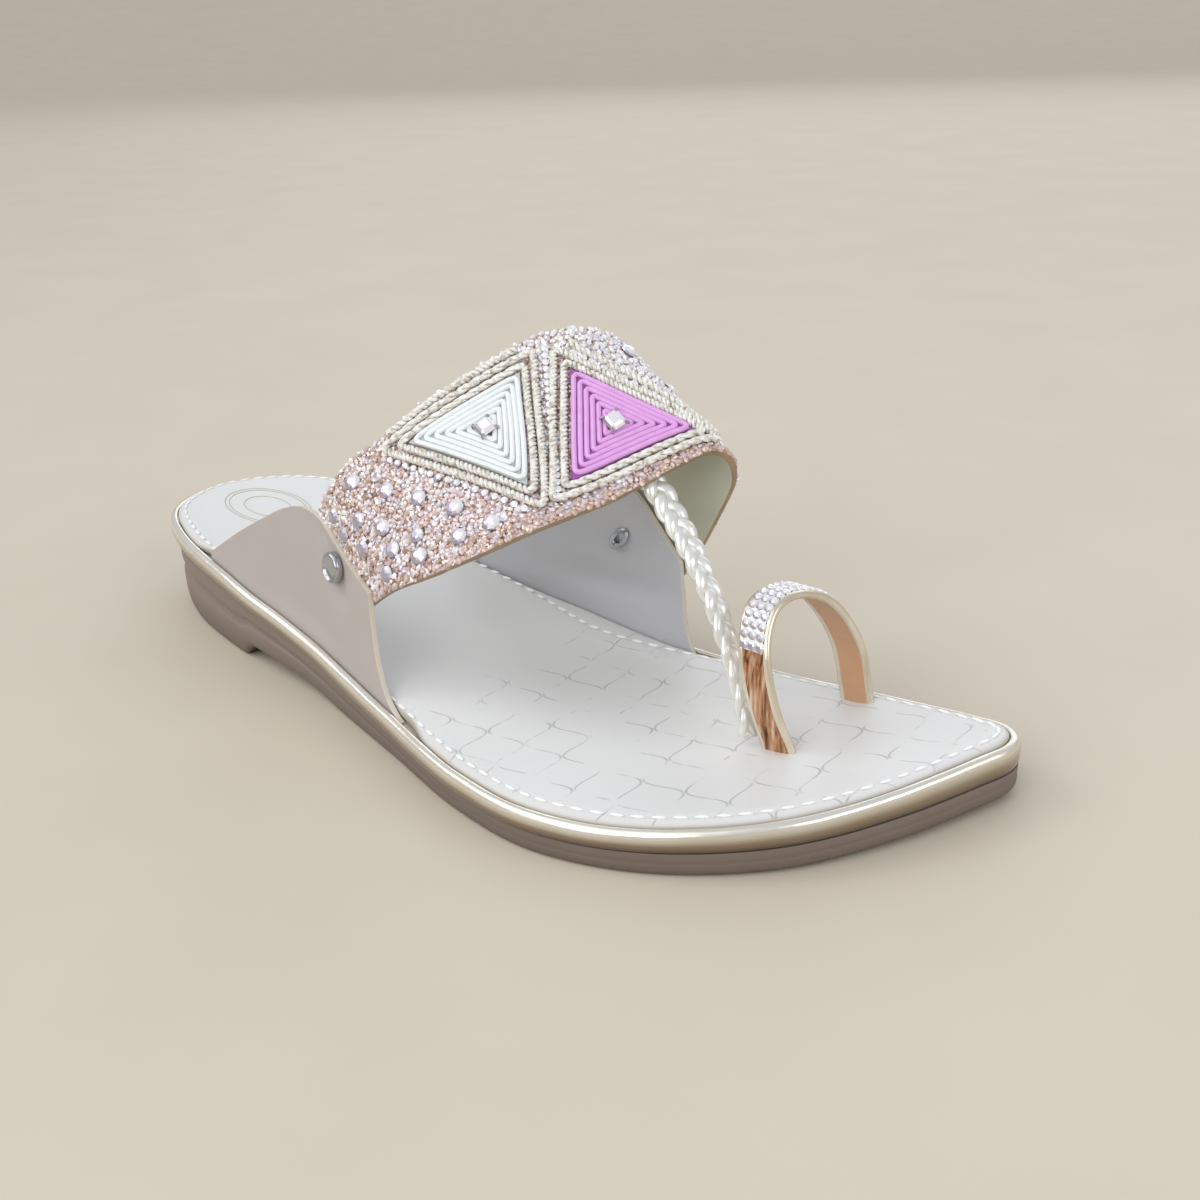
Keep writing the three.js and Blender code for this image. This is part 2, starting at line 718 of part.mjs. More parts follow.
// Square crystal standing on the middle of a cord triangle.
function crystal(side) {
  const corners = triangleCorners[side];
  const middle = [1 / 3, 1 / 3, 1 / 3];
  const round = corners.reduce((sum, corner) => sum + corner.round / 3, 0);
  const down = corners.reduce((sum, corner) => sum + corner.down / 3, 0);
  const normal = bandNormal(round, down);
  const base = onTriangle(corners, middle, gap * 3 + triangleHeight);
  const half = crystalWidth / Math.SQRT2;
  const girdle = crystalHeight * 0.35;
  const profile = [[0, 0], [half, 0], [half, girdle], [half * 0.6, crystalHeight], [0, crystalHeight]];
  const stone = new THREE.LatheGeometry(profile.map(([r, h]) => new THREE.Vector2(r, h)), 4);
  stone.rotateX(Math.PI / 2);
  stone.applyQuaternion(new THREE.Quaternion().setFromUnitVectors(new THREE.Vector3(0, 0, 1), normal));
  return stone.translate(...base.toArray());
}

// Outward axis and seat of a rivet on the shared side wall.
function rivetSeat(side) {
  const outward = side === 'lateral' ? -1 : 1;
  const x = alongToX(rivetPlaces[side].along);
  const z = ballLift + rivetPlaces[side].up * bandRise;
  const at = (dx, dz) => new THREE.Vector3(x + dx, sideWall(side, x + dx, z + dz), z + dz);
  const axis = at(1, 0).sub(at(-1, 0)).cross(at(0, 1).sub(at(0, -1))).normalize();
  if (axis.y * outward < 0) axis.negate();
  return { seat: at(0, 0), axis };
}

function alongAxis(geometry, { seat, axis }) {
  geometry.applyQuaternion(new THREE.Quaternion().setFromUnitVectors(new THREE.Vector3(0, 1, 0), axis));
  return geometry.translate(...seat.toArray());
}

function rivetHole(side) {
  const radius = rivetShankRadius + gap;
  const reach = (bandWall + wingWall) * 3;
  return alongAxis(new THREE.CylinderGeometry(radius, radius, reach, 12), rivetSeat(side));
}

// Rivet: a head on the outermost leather, a shank and a flange on the innermost.
function rivet(side) {
  const stackOut = side === 'lateral' ? wingWall / 2 : wingWall / 2 + gap + bandWall;
  const stackIn = side === 'lateral' ? wingWall / 2 + gap + bandWall : wingWall / 2;
  const headSeat = stackOut + gap;
  const backSeat = -stackIn - gap;
  const bore = side === 'medial' ? rivetShankRadius * 0.6 : 0;
  const boreDepth = rivetBackHeight * 1.6;
  const profile = [
    [0, backSeat - rivetBackHeight + (bore ? boreDepth : 0)],
    ...(bore ? [[bore, backSeat - rivetBackHeight + boreDepth], [bore, backSeat - rivetBackHeight]] : []),
    [rivetBackRadius * 0.7, backSeat - rivetBackHeight],
    [rivetBackRadius, backSeat - rivetBackHeight * 0.5],
    [rivetBackRadius, backSeat],
    [rivetShankRadius, backSeat],
    [rivetShankRadius, headSeat],
    [rivetHeadRadius, headSeat],
    [rivetHeadRadius * 0.94, headSeat + rivetHeadHeight * 0.4],
    [rivetHeadRadius * 0.65, headSeat + rivetHeadHeight * 0.85],
    [0, headSeat + rivetHeadHeight],
  ];
  const body = new THREE.LatheGeometry(profile.map(([r, h]) => new THREE.Vector2(r, h)), 14);
  return alongAxis(body, rivetSeat(side));
}

// Braid: one flat band whose three strands show as slanting bulges on both faces.
function braid() {
  const route = new THREE.CatmullRomCurve3(braidRoute.map(({ along, across, up }) => (
    new THREE.Vector3(alongToX(along), across * ballWidth, ballLift + up * bandRise)
  )));
  const steps = 60;
  const sides = 10;
  const length = route.getLength();
  const rings = Array.from({ length: steps + 1 }, (_, step) => {
    const share = step / steps;
    const centre = route.getPointAt(share);
    const run = route.getTangentAt(share);
    const across = new THREE.Vector3(0, 1, 0).addScaledVector(run, -run.y).normalize();
    const out = run.clone().cross(across).negate().normalize();
    const halfWidth = THREE.MathUtils.lerp(braidTopWidth, braidFootWidth, share) / 2;
    const phase = (share * length * Math.PI * 2) / braidPitch;
    return Array.from({ length: sides }, (_, index) => {
      const turn = (index / sides) * Math.PI * 2;
      const lean = Math.abs(Math.cos(turn)) * braidSlant;
      const strand = Math.cos(turn) > 0 ? phase + lean : phase + lean + Math.PI;
      const bulge = 1 + braidBulge * Math.cos(strand);
      return centre.clone()
        .addScaledVector(across, Math.cos(turn) * halfWidth)
        .addScaledVector(out, Math.sin(turn) * (braidThickness / 2) * bulge);
    });
  });
  return sweepBody(rings);
}

const sandal = new THREE.Group();

function addPart(name, geometry, color, roughness, metalness) {
  const mesh = new THREE.Mesh(geometry, new THREE.MeshStandardMaterial({ color, roughness, metalness }));
  mesh.name = name;
  sandal.add(mesh);
}

addPart('outsole', outsole(), colours.outsole, 0.7, 0);
addPart('midsole_rim', rim(), colours.rim, 0.35, 0.7);
addPart('insole', insole(), colours.insole, 0.6, 0);
addPart('wing_lateral', wing('lateral'), colours.wing, 0.5, 0);
addPart('wing_medial', wing('medial'), colours.wing, 0.5, 0);
addPart('vamp_band', band(), colours.band, 0.5, 0.3);
addPart('cord_triangle_white', cordTriangle('lateral'), colours.whiteCord, 0.5, 0);
addPart('cord_triangle_pink', cordTriangle('medial'), colours.pinkCord, 0.5, 0);
addPart('rope_frame_lateral', ropeFrame('lateral'), colours.rope, 0.4, 0.6);
addPart('rope_frame_medial', ropeFrame('medial'), colours.rope, 0.4, 0.6);
addPart('crystal_lateral', crystal('lateral'), colours.crystal, 0.1, 0);
addPart('crystal_medial', crystal('medial'), colours.crystal, 0.1, 0);
addPart('rivet_lateral', rivet('lateral'), colours.rivet, 0.3, 1);
addPart('rivet_medial', rivet('medial'), colours.rivet, 0.3, 1);
addPart('toe_braid', braid(), colours.braid, 0.35, 0.6);
addPart('toe_loop', toeLoop(), colours.loop, 0.4, 0.5);

// The origin goes to the middle of the shoe's box, on the floor.
const box = new THREE.Box3().setFromObject(sandal, true);
sandal.position.set(-(box.min.x + box.max.x) / 2, -(box.min.y + box.max.y) / 2, -box.min.z);

export default sandal;
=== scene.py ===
import math
import random

import bmesh
import bpy
import numpy as np
from mathutils import Matrix, Vector
from mathutils.bvhtree import BVHTree


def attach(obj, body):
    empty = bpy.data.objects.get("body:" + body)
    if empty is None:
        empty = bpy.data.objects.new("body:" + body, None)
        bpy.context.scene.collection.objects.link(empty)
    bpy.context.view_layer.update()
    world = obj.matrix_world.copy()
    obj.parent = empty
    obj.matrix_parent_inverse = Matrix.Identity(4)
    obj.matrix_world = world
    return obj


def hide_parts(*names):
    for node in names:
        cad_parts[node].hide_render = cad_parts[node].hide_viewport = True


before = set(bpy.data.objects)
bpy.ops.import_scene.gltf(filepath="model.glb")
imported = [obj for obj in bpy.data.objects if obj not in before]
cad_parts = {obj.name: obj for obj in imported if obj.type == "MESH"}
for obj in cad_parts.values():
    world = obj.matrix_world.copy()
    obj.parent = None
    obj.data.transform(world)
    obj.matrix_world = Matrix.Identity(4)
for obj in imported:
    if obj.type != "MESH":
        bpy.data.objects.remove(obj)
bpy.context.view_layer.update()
print("frame loaded")

# Camera and light, in metres. The shoe stands as in the photograph, toe to the right.
view = {
    "azimuth": 44.77,
    "elevation": 23.46,
    "distance": 0.35415,
    "roll": -2.48,
    "target": (0.016897, 0.025676, 0.02),
    "lens": 42,
    "skyStrength": 0.56,
    "daylightPower": 1.0,
    "floorSize": 6.0,
    "floorFlat": 3.0,
    "floorSweep": 0.12,
}

# The shoe's own sizes in millimetres, as in the CAD model: +x toe, +y inner side, +z up.
shoe = {
    "footbedLength": 250.0,
    "ballWidth": 80.0,
    "heelLift": 27.6,
    "ballLift": 10.4,
    "toeLift": 4.0,
    "insoleThickness": 2.2,
    "grooveWidth": 1.9,
    "rimThickness": 5.4,
    "rimToeGrowth": 0.3,
    "archRise": 4.0,
    "soleToeRise": 1.8,
    "heelBevel": 1.6,
    "wingWall": 1.3,
    "wingHeight": 32.0,
    "wingBow": 5.0,
    "bandWall": 2.4,
    "bandRise": 78.6,
    "gap": 0.3,
    "toOrigin": Vector((-0.1225, 2.7476, 0.0)),
}


def table(columns, *rows):
    names = columns.split()
    return [dict(zip(names, row)) for row in rows]


# Outline of the bed in the rim: shares of footbedLength and ballWidth, outer side first.
outlineRows = table(
    "along across",
    (0, 0.013), (0.028, -0.19), (0.1, -0.31), (0.24, -0.39), (0.388, -0.415), (0.532, -0.49),
    (0.66, -0.566), (0.752, -0.568), (0.84, -0.46), (0.92, -0.24), (0.9685, 0.04), (0.995, 0.31),
    (1.001, 0.4), (0.996, 0.46), (0.975, 0.498), (0.868, 0.495), (0.76, 0.441), (0.652, 0.402),
    (0.52, 0.395), (0.36, 0.339), (0.2, 0.362), (0.088, 0.366), (0.024, 0.213),
)
footbedRows = table(
    "along heel toe",
    (0, 1, 0), (0.1, 0.95, 0), (0.2, 0.83, 0), (0.3, 0.6, 0), (0.4, 0.34, 0), (0.5, 0.15, 0),
    (0.6, 0.04, 0), (0.7, 0, 0), (0.8, 0, 0.04), (0.88, 0, 0.28), (0.95, 0, 0.65), (1, 0, 1),
)
soleRows = table(
    "along bevel arch toe",
    (-0.01, 1, 0, 0), (0.035, 0, 0, 0), (0.235, 0, 0, 0), (0.262, 0, 1, 0), (0.33, 0, 0.8, 0),
    (0.46, 0, 0, 0), (0.83, 0, 0, 0), (0.92, 0, 0, 0.35), (1.01, 0, 0, 1),
)
wingRows = {
    "lateral": table(
        "foot top rise bow",
        (0.184, 0.184, 0.03, 0), (0.212, 0.214, 0.19, 0), (0.252, 0.256, 0.43, 0),
        (0.296, 0.3, 0.67, 0), (0.336, 0.336, 0.86, 0), (0.372, 0.366, 0.97, 0),
        (0.404, 0.388, 0.99, 0), (0.44, 0.412, 0.95, 0), (0.476, 0.444, 0.85, 0.25),
        (0.512, 0.472, 0.78, 0.6), (0.554, 0.497, 0.73, 1),
    ),
    "medial": table(
        "foot top rise bow",
        (0.3, 0.3, 0.03, 0), (0.328, 0.332, 0.2, 0), (0.368, 0.376, 0.45, 0),
        (0.412, 0.424, 0.7, 0), (0.452, 0.468, 0.9, 0), (0.492, 0.508, 1.05, 0),
        (0.532, 0.544, 1.15, 0), (0.568, 0.574, 1.19, 0), (0.6, 0.598, 1.16, 0),
        (0.632, 0.626, 0.94, 0.1), (0.666, 0.652, 0.7, 0.3),
    ),
}
wingLean = {"lateral": 0.12, "medial": 0.03}

# Band lines from its rear edge to its front edge, from the outer wing over to the inner wing.
bandRows = table(
    "rearAlong rearAcross rearUp frontAlong frontAcross frontUp hug",
    (0.376, -0.37, 0.376, 0.476, -0.416, 0.248, 1),
    (0.394, -0.356, 0.497, 0.508, -0.419, 0.318, 1),
    (0.412, -0.331, 0.58, 0.538, -0.406, 0.378, 0.7),
    (0.424, -0.281, 0.65, 0.582, -0.369, 0.452, 0),
    (0.444, -0.213, 0.717, 0.614, -0.306, 0.51, 0),
    (0.462, -0.113, 0.796, 0.64, -0.2, 0.56, 0),
    (0.484, -0.013, 0.868, 0.658, -0.075, 0.589, 0),
    (0.504, 0.075, 0.927, 0.67, 0.038, 0.609, 0),
    (0.526, 0.163, 0.977, 0.68, 0.15, 0.637, 0),
    (0.544, 0.25, 1, 0.69, 0.25, 0.666, 0),
    (0.56, 0.338, 0.987, 0.7, 0.35, 0.687, 0),
    (0.574, 0.413, 0.936, 0.707, 0.413, 0.656, 0),
    (0.58, 0.456, 0.847, 0.704, 0.45, 0.58, 0),
    (0.574, 0.469, 0.745, 0.694, 0.448, 0.497, 0.1),
    (0.56, 0.463, 0.63, 0.676, 0.425, 0.376, 0.6),
    (0.542, 0.444, 0.503, 0.658, 0.406, 0.287, 1),
    (0.516, 0.425, 0.35, 0.64, 0.413, 0.21, 1),
)
loopRows = table(
    "up front rear",
    (-0.06, -0.415, -0.455), (0.05, -0.43, -0.47), (0.35, -0.485, -0.5), (0.7, -0.45, -0.46),
    (0.93, -0.3, -0.31), (0.98, -0.07, -0.07), (0.885, 0.2, 0.18), (0.7, 0.39, 0.34),
    (0.4, 0.505, 0.45), (0.06, 0.475, 0.435), (-0.06, 0.455, 0.42),
)


def follow(rows, column, at):
    last = len(rows) - 1
    places = [row["along"] for row in rows]
    if at <= places[0]:
        return rows[0][column]
    if at >= places[last]:
        return rows[last][column]
    slopes = [
        (rows[i + 1][column] - rows[i][column]) / (places[i + 1] - places[i]) for i in range(last)
    ]

    def tangent(index):
        if index in (0, last) or slopes[index - 1] * slopes[index] <= 0:
            return 0
        return 2 * slopes[index - 1] * slopes[index] / (slopes[index - 1] + slopes[index])

    row = next(i for i in range(last) if at <= places[i + 1])
    width = places[row + 1] - places[row]
    t = (at - places[row]) / width
    rise = t * t * (3 - 2 * t)
    enter = t * (1 - t) ** 2 * width * tangent(row)
    leave = t * t * (t - 1) * width * tangent(row + 1)
    return rows[row][column] + (rows[row + 1][column] - rows[row][column]) * rise + enter + leave


def blend(rows, column, share):
    last = len(rows) - 1
    place = min(max(share, 0), 1) * last
    row = min(int(place), last - 1)
    t = place - row
    a, b, c, d = (rows[min(max(row + k, 0), last)][column] for k in (-1, 0, 1, 2))
    linear = c - a
    square = 2 * a - 5 * b + 4 * c - d
    cube = 3 * b - a - 3 * c + d
    return 0.5 * (2 * b + linear * t + square * t * t + cube * t ** 3)


def alongToX(along):
    return (along - 0.5) * shoe["footbedLength"]


# Smooth curve through points, with the same number of steps between any two of them.
def throughPoints(points, steps, closed=False):
    count = len(points)
    spans = count if closed else count - 1
    if closed:
        def point(index):
            return points[index % count]
    else:
        ends = {-1: 2 * points[0] - points[1], count: 2 * points[-1] - points[-2]}

        def point(index):
            return ends.get(index) or points[index]
    result = []
    for index in range(spans):
        a, b, c, d = (point(index + k) for k in (-1, 0, 1, 2))
        before, span, after = ((q - p).length ** 0.5 for p, q in ((a, b), (b, c), (c, d)))
        leave = ((b - a) / before - (c - a) / (before + span) + (c - b) / span) * span
        enter = ((c - b) / span - (d - b) / (span + after) + (d - c) / after) * span
        for step in range(steps):
            t = step / steps
            square = 3 * (c - b) - 2 * leave - enter
            cube = 2 * (b - c) + leave + enter
            result.append(b + leave * t + square * t * t + cube * t ** 3)
    return result if closed else result + [points[-1].copy()]


# Evenly spaced places along a row of points.
def evenly(points, count, closed=False):
    row = np.array([tuple(p) for p in (points + [points[0]] if closed else points)])
    lengths = np.concatenate([[0], np.cumsum(np.linalg.norm(np.diff(row, axis=0), axis=1))])
    at = np.linspace(0, lengths[-1], count, endpoint=not closed)
    return [Vector(p) for p in zip(*(np.interp(at, lengths, row[:, k]) for k in range(row.shape[1])))]


def rowLength(points, closed=False):
    row = points + [points[0]] if closed else points
    return sum((b - a).length for a, b in zip(row, row[1:]))


outlineSteps = 1440
outlineCorners = [
    Vector((alongToX(row["along"]), row["across"] * shoe["ballWidth"], 0)) for row in outlineRows
]
outlineRing = evenly(throughPoints(outlineCorners, 60, closed=True), outlineSteps, closed=True)
heelIndex = min(range(outlineSteps), key=lambda i: outlineRing[i].x)
outlineRing = outlineRing[heelIndex:] + outlineRing[:heelIndex]
toeIndex = max(range(outlineSteps), key=lambda i: outlineRing[i].x)
outlineLength = rowLength(outlineRing, closed=True)
sideRows = {"lateral": outlineRing[: toeIndex + 1], "medial": outlineRing[toeIndex:][::-1]}


# Place on the outline and its outward direction, from the heel along the outer side and back.
def outlineAt(share):
    place = (share % 1) * outlineSteps
    low = int(place)
    ring = [outlineRing[(low + k) % outlineSteps] for k in (-4, 0, 1, 5)]
    tangent = (ring[3] - ring[0]).normalized()
    return ring[1].lerp(ring[2], place - low), Vector((tangent.y, -tangent.x, 0))


def edgeAcross(side, x):
    row = sideRows[side]
    return float(np.interp(x, [p.x for p in row[::8]], [p.y for p in row[::8]]))


def footbedTop(x):
    along = x / shoe["footbedLength"] + 0.5
    heel = follow(footbedRows, "heel", along) * (shoe["heelLift"] - shoe["ballLift"])
    return shoe["ballLift"] + heel + shoe["toeLift"] * follow(footbedRows, "toe", along)


# Depth of the rim's underside below the footbed: the bead grows thicker round the toe.
def rimDepth(x):
    growth = shoe["rimToeGrowth"] * follow(footbedRows, "toe", x / shoe["footbedLength"] + 0.5)
    return shoe["rimThickness"] * (1 + growth)


def soleBottom(x):
    along = x / shoe["footbedLength"] + 0.5
    bevel = shoe["heelBevel"] * follow(soleRows, "bevel", along)
    arch = shoe["archRise"] * follow(soleRows, "arch", along)
    return bevel + arch + shoe["soleToeRise"] * follow(soleRows, "toe", along)


def bedFloor(x):
    return footbedTop(x) - shoe["insoleThickness"] - shoe["gap"]


def sideWall(side, x, z):
    inward = 1 if side == "lateral" else -1
    above = max(0, z - footbedTop(x) - 1)
    return edgeAcross(side, x) + inward * (shoe["grooveWidth"] / 2 + wingLean[side] * above)


def wingPoint(side, share, up):
    rows = wingRows[side]
    foot = alongToX(blend(rows, "foot", share))
    top = alongToX(blend(rows, "top", share))
    low = bedFloor(foot) + shoe["gap"]
    high = footbedTop(top) + blend(rows, "rise", share) * shoe["wingHeight"]
    bow = blend(rows, "bow", share) * shoe["wingBow"]
    x = foot + (top - foot) * up - bow * math.sin(math.pi * up ** 0.65)
    z = low + (high - low) * up
    return Vector((x, sideWall(side, x, z), z))


# Place on the band's outer face: round runs from outer to inner end, down from rear to front edge.
def bandPoint(round, down):
    at = {column: blend(bandRows, column, round) for column in bandRows[0]}
    along = at["rearAlong"] + (at["frontAlong"] - at["rearAlong"]) * down
    across = at["rearAcross"] + (at["frontAcross"] - at["rearAcross"]) * down
    up = at["rearUp"] + (at["frontUp"] - at["rearUp"]) * down
    point = Vector((alongToX(along), across * shoe["ballWidth"], shoe["ballLift"] + up * shoe["bandRise"]))
    hug = min(max(at["hug"], 0), 1)
    if hug > 0:
        side = "lateral" if round < 0.5 else "medial"
        clear = shoe["wingWall"] / 2 + shoe["gap"] + (shoe["bandWall"] if side == "medial" else 0)
        point.y += (sideWall(side, point.x, point.z) + clear - point.y) * hug
    return point


def bandNormal(round, down):
    step = 0.004
    alongBand = bandPoint(min(round + step, 1), down) - bandPoint(max(round - step, 0), down)
    downBand = bandPoint(round, min(down + step, 1)) - bandPoint(round, max(down - step, 0))
    return downBand.cross(alongBand).normalized()


def onBand(round, down, lift):
    return bandPoint(round, down) + bandNormal(round, down) * lift


# Colours, nodes and materials.
def toLinear(code):
    parts = [int(code[i:i + 2], 16) / 255 for i in (1, 3, 5)]
    return (*(c / 12.92 if c <= 0.04045 else ((c + 0.055) / 1.055) ** 2.4 for c in parts), 1)


def addNode(tree, kind, settings=None, links=None):
    node = tree.nodes.new(kind)
    for name, value in (settings or {}).items():
        if isinstance(name, str) and hasattr(node, name):
            setattr(node, name, value)
        else:
            node.inputs[name].default_value = value
    for name, source in (links or {}).items():
        tree.links.new(source, node.inputs[name])
    return node


def startMaterial(name, colour, **settings):
    material = bpy.data.materials.new(name)
    material.use_nodes = True
    tree = material.node_tree
    shader = tree.nodes["Principled BSDF"]
    shader.inputs["Base Color"].default_value = toLinear(colour)
    for key, value in settings.items():
        shader.inputs[key].default_value = value
    return material, tree, shader


def mixColours(tree, factor, first, second, blendType="MIX"):
    node = addNode(tree, "ShaderNodeMix", {"data_type": "RGBA", "blend_type": blendType})
    for index, value in ((0, factor), (6, first), (7, second)):
        if isinstance(value, str):
            node.inputs[index].default_value = toLinear(value)
        else:
            tree.links.new(value, node.inputs[index])
    return node.outputs[2]


def rampOf(tree, source, stops):
    node = addNode(tree, "ShaderNodeValToRGB", links={"Fac": source})
    elements = node.color_ramp.elements
    while len(elements) < len(stops):
        elements.new(0.5)
    for element, (position, colour) in zip(elements, stops):
        element.position = position
        element.color = toLinear(colour)
    return node.outputs["Color"]


def objectPlace(tree):
    return addNode(tree, "ShaderNodeTexCoord").outputs["Object"]


def noiseOf(tree, millimetres, detail=3, place=None, roughness=0.5):
    settings = {"Scale": 1000 / millimetres, "Detail": detail, "Roughness": roughness}
    return addNode(
        tree, "ShaderNodeTexNoise", settings, {"Vector": place or objectPlace(tree)}
    ).outputs[0]


def spread(tree, source, low, high, toLow, toHigh):
    settings = {1: low, 2: high, 3: toLow, 4: toHigh}
    return addNode(tree, "ShaderNodeMapRange", settings, {0: source}).outputs[0]


def partOf(tree, source, index):
    return addNode(tree, "ShaderNodeSeparateXYZ", links={0: source}).outputs[index]


def facingOf(tree, kind="Normal"):
    return addNode(tree, "ShaderNodeNewGeometry").outputs[kind]


def feed(shader, socket, source):
    shader.id_data.links.new(source, shader.inputs[socket])


def bumpOf(tree, shader, height, millimetres, strength=1.0, before=None):
    links = {"Height": height}
    if before:
        links["Normal"] = before
    bump = addNode(
        tree, "ShaderNodeBump", {"Distance": millimetres / 1000, "Strength": strength}, links
    ).outputs["Normal"]
    feed(shader, "Normal", bump)
    return bump


# Moulded polyurethane: matt taupe with a faint mottle, darker towards the floor.
def unitSoleFoam():
    material, tree, shader = startMaterial("moulded polyurethane sole", "#84776F", Roughness=0.55)
    place = objectPlace(tree)
    mottle = noiseOf(tree, 14, 4, place)
    low = spread(tree, partOf(tree, place, 2), 0.0, 0.009, 1.0, 0.0)
    skin = mixColours(tree, mottle, "#7C6E65", "#8D8077")
    feed(shader, "Base Color", mixColours(tree, low, skin, "#6B5E57"))
    feed(shader, "Roughness", spread(tree, mottle, 0.3, 0.7, 0.46, 0.62))
    bumpOf(tree, shader, noiseOf(tree, 0.9, 2, place), 0.12, 0.5)
    return material


# Foil-coated trim round the board: champagne gold, smooth. Its colour by facing is painted light: a pale
# painted highlight along the top and a browner painted reflection of the floor where it turns under.
def goldTrim():
    material, tree, shader = startMaterial(
        "champagne foil trim", "#E2D6BE", Metallic=0.65, Roughness=0.25,
        **{"Coat Weight": 0.8, "Coat Roughness": 0.1}
    )
    # Painted highlight and reflection: faces turned up are near white, faces turned down are floor-brown.
    turned = spread(tree, partOf(tree, facingOf(tree), 2), -0.6, 0.6, 0.0, 1.0)
    skin = rampOf(
        tree, turned,
        [(0.0, "#5F4C40"), (0.28, "#75614F"), (0.45, "#978673"), (0.57, "#D6D0C5"), (0.8, "#F8F6F1")],
    )
    place = objectPlace(tree)
    cloud = noiseOf(tree, 20, 3, place)
    feed(shader, "Base Color", mixColours(tree, cloud, skin, "#E6DECB", "MULTIPLY"))
    feed(shader, "Roughness", spread(tree, cloud, 0.3, 0.75, 0.17, 0.32))
    first = bumpOf(tree, shader, noiseOf(tree, 5, 2, place), 0.25, 0.5)
    bumpOf(tree, shader, noiseOf(tree, 0.5, 2, place), 0.03, 0.4, first)
    return material


# Smooth coated leather of the footbed, off-white, with a faint grey print at the forefoot.
footbedPrint = {
    "latticePitch": 14.5,
    "latticeWave": 3.3,
    "lineWidth": 0.17,
    "turn": 0.62,
    "printStart": 0.012,
    "printFade": 0.006,
    "printStrength": 0.55,
}


def footbedLeather():
    material, tree, shader = startMaterial(
        "printed footbed leather", "#DCD9D6", Roughness=0.42, **{"Coat Weight": 0.15, "Coat Roughness": 0.3}
    )
    place = objectPlace(tree)
    turned = addNode(
        tree, "ShaderNodeMapping", {"Rotation": (0, 0, footbedPrint["turn"])}, {"Vector": place}
    ).outputs[0]
    parts = addNode(tree, "ShaderNodeSeparateXYZ", links={0: turned})

    def calc(operation, *values):
        node = addNode(tree, "ShaderNodeMath", {"operation": operation})
        for index, value in enumerate(values):
            if isinstance(value, (int, float)):
                node.inputs[index].default_value = value
            else:
                tree.links.new(value, node.inputs[index])
        return node.outputs[0]

    half = footbedPrint["latticePitch"] / 2000
    wave = footbedPrint["latticeWave"] / 1000
    width = footbedPrint["lineWidth"] / 1000
    start = footbedPrint["printStart"]
    turn = calc("MULTIPLY", parts.outputs[0], math.pi / half)
    swing = calc("MULTIPLY", calc("COSINE", turn), wave)
    lines = None
    for sign in (1, -1):
        shifted = calc("ADD", parts.outputs[1], calc("MULTIPLY", swing, sign))
        moved = calc("ADD", shifted, half if sign < 0 else 0)
        near = calc("PINGPONG", moved, half)
        lines = near if lines is None else calc("MINIMUM", lines, near)
    line = spread(tree, lines, width, width * 2.2, 1.0, 0.0)
    worn = spread(tree, noiseOf(tree, 7, 2, place), 0.46, 0.58, 0.0, 1.0)
    inside = spread(tree, partOf(tree, place, 0), start, start + footbedPrint["printFade"], 0.0, 1.0)
    inked = calc("MULTIPLY", inside, footbedPrint["printStrength"])
    strength = calc("MULTIPLY", calc("MULTIPLY", line, worn), inked)
    cloud = noiseOf(tree, 45, 2, place)
    ground = mixColours(tree, cloud, "#DBDAD8", "#E4E3E1")
    printed = mixColours(tree, strength, ground, "#8F8F92")
    # Faces turning down at the edge are tinted grey-beige: partly the wrapped edge's own beige, partly
    # painted shade where the edge turns away from the light.
    side = spread(tree, partOf(tree, facingOf(tree), 2), 0.6, 0.96, 1.0, 0.0)
    feed(shader, "Base Color", mixColours(tree, side, printed, "#C2BBB1"))
    bumpOf(tree, shader, noiseOf(tree, 0.7, 3, place), 0.05, 0.5)
    return material


# Smooth coated upper leather: satin, fine grain, a little darker in patches.
def upperLeather(name, light, dark, roughness=0.42):
    material, tree, shader = startMaterial(name, light, Roughness=roughness)
    place = objectPlace(tree)
    cloud = noiseOf(tree, 26, 3, place)
    feed(shader, "Base Color", mixColours(tree, cloud, dark, light))
    feed(shader, "Roughness", spread(tree, cloud, 0.3, 0.7, roughness - 0.06, roughness + 0.07))
    cells = addNode(
        tree, "ShaderNodeTexVoronoi", {"feature": "DISTANCE_TO_EDGE", "Scale": 1000 / 0.8}, {"Vector": place}
    ).outputs["Distance"]
    first = bumpOf(tree, shader, noiseOf(tree, 9, 2, place), 0.2, 0.35)
    bumpOf(tree, shader, spread(tree, cells, 0.0, 0.12, 0.0, 1.0), 0.025, 0.5, first)
    return material


# Foil-faced leather: bright and fairly sharp, with a faint crumple.
def foilLeather(name, light, dark, metallic, roughness):
    material, tree, shader = startMaterial(name, light, Metallic=metallic, Roughness=roughness)
    place = objectPlace(tree)
    feed(shader, "Base Color", mixColours(tree, noiseOf(tree, 6, 4, place), dark, light))
    first = bumpOf(tree, shader, noiseOf(tree, 3, 3, place), 0.15, 0.6)
    bumpOf(tree, shader, noiseOf(tree, 0.4, 2, place), 0.02, 0.5, first)
    return material


# Copper foil leather with dark streaks down the strap, where the foil has creased.
def streakedFoil():
    material, tree, shader = startMaterial("copper foil leather", "#C89470", Metallic=0.7, Roughness=0.26)
    drawnOut = {"Scale": (1, 1, 0.07), "Rotation": (0.1, 0.25, 0)}
    drawn = addNode(tree, "ShaderNodeMapping", drawnOut, {"Vector": objectPlace(tree)}).outputs[0]
    streaks = noiseOf(tree, 1.1, 3, drawn, 0.6)
    tones = [(0.34, "#573926"), (0.44, "#A0714F"), (0.55, "#CB9C78"), (0.72, "#EED8C2")]
    feed(shader, "Base Color", rampOf(tree, streaks, tones))
    bumpOf(tree, shader, streaks, 0.15, 0.6)
    return material


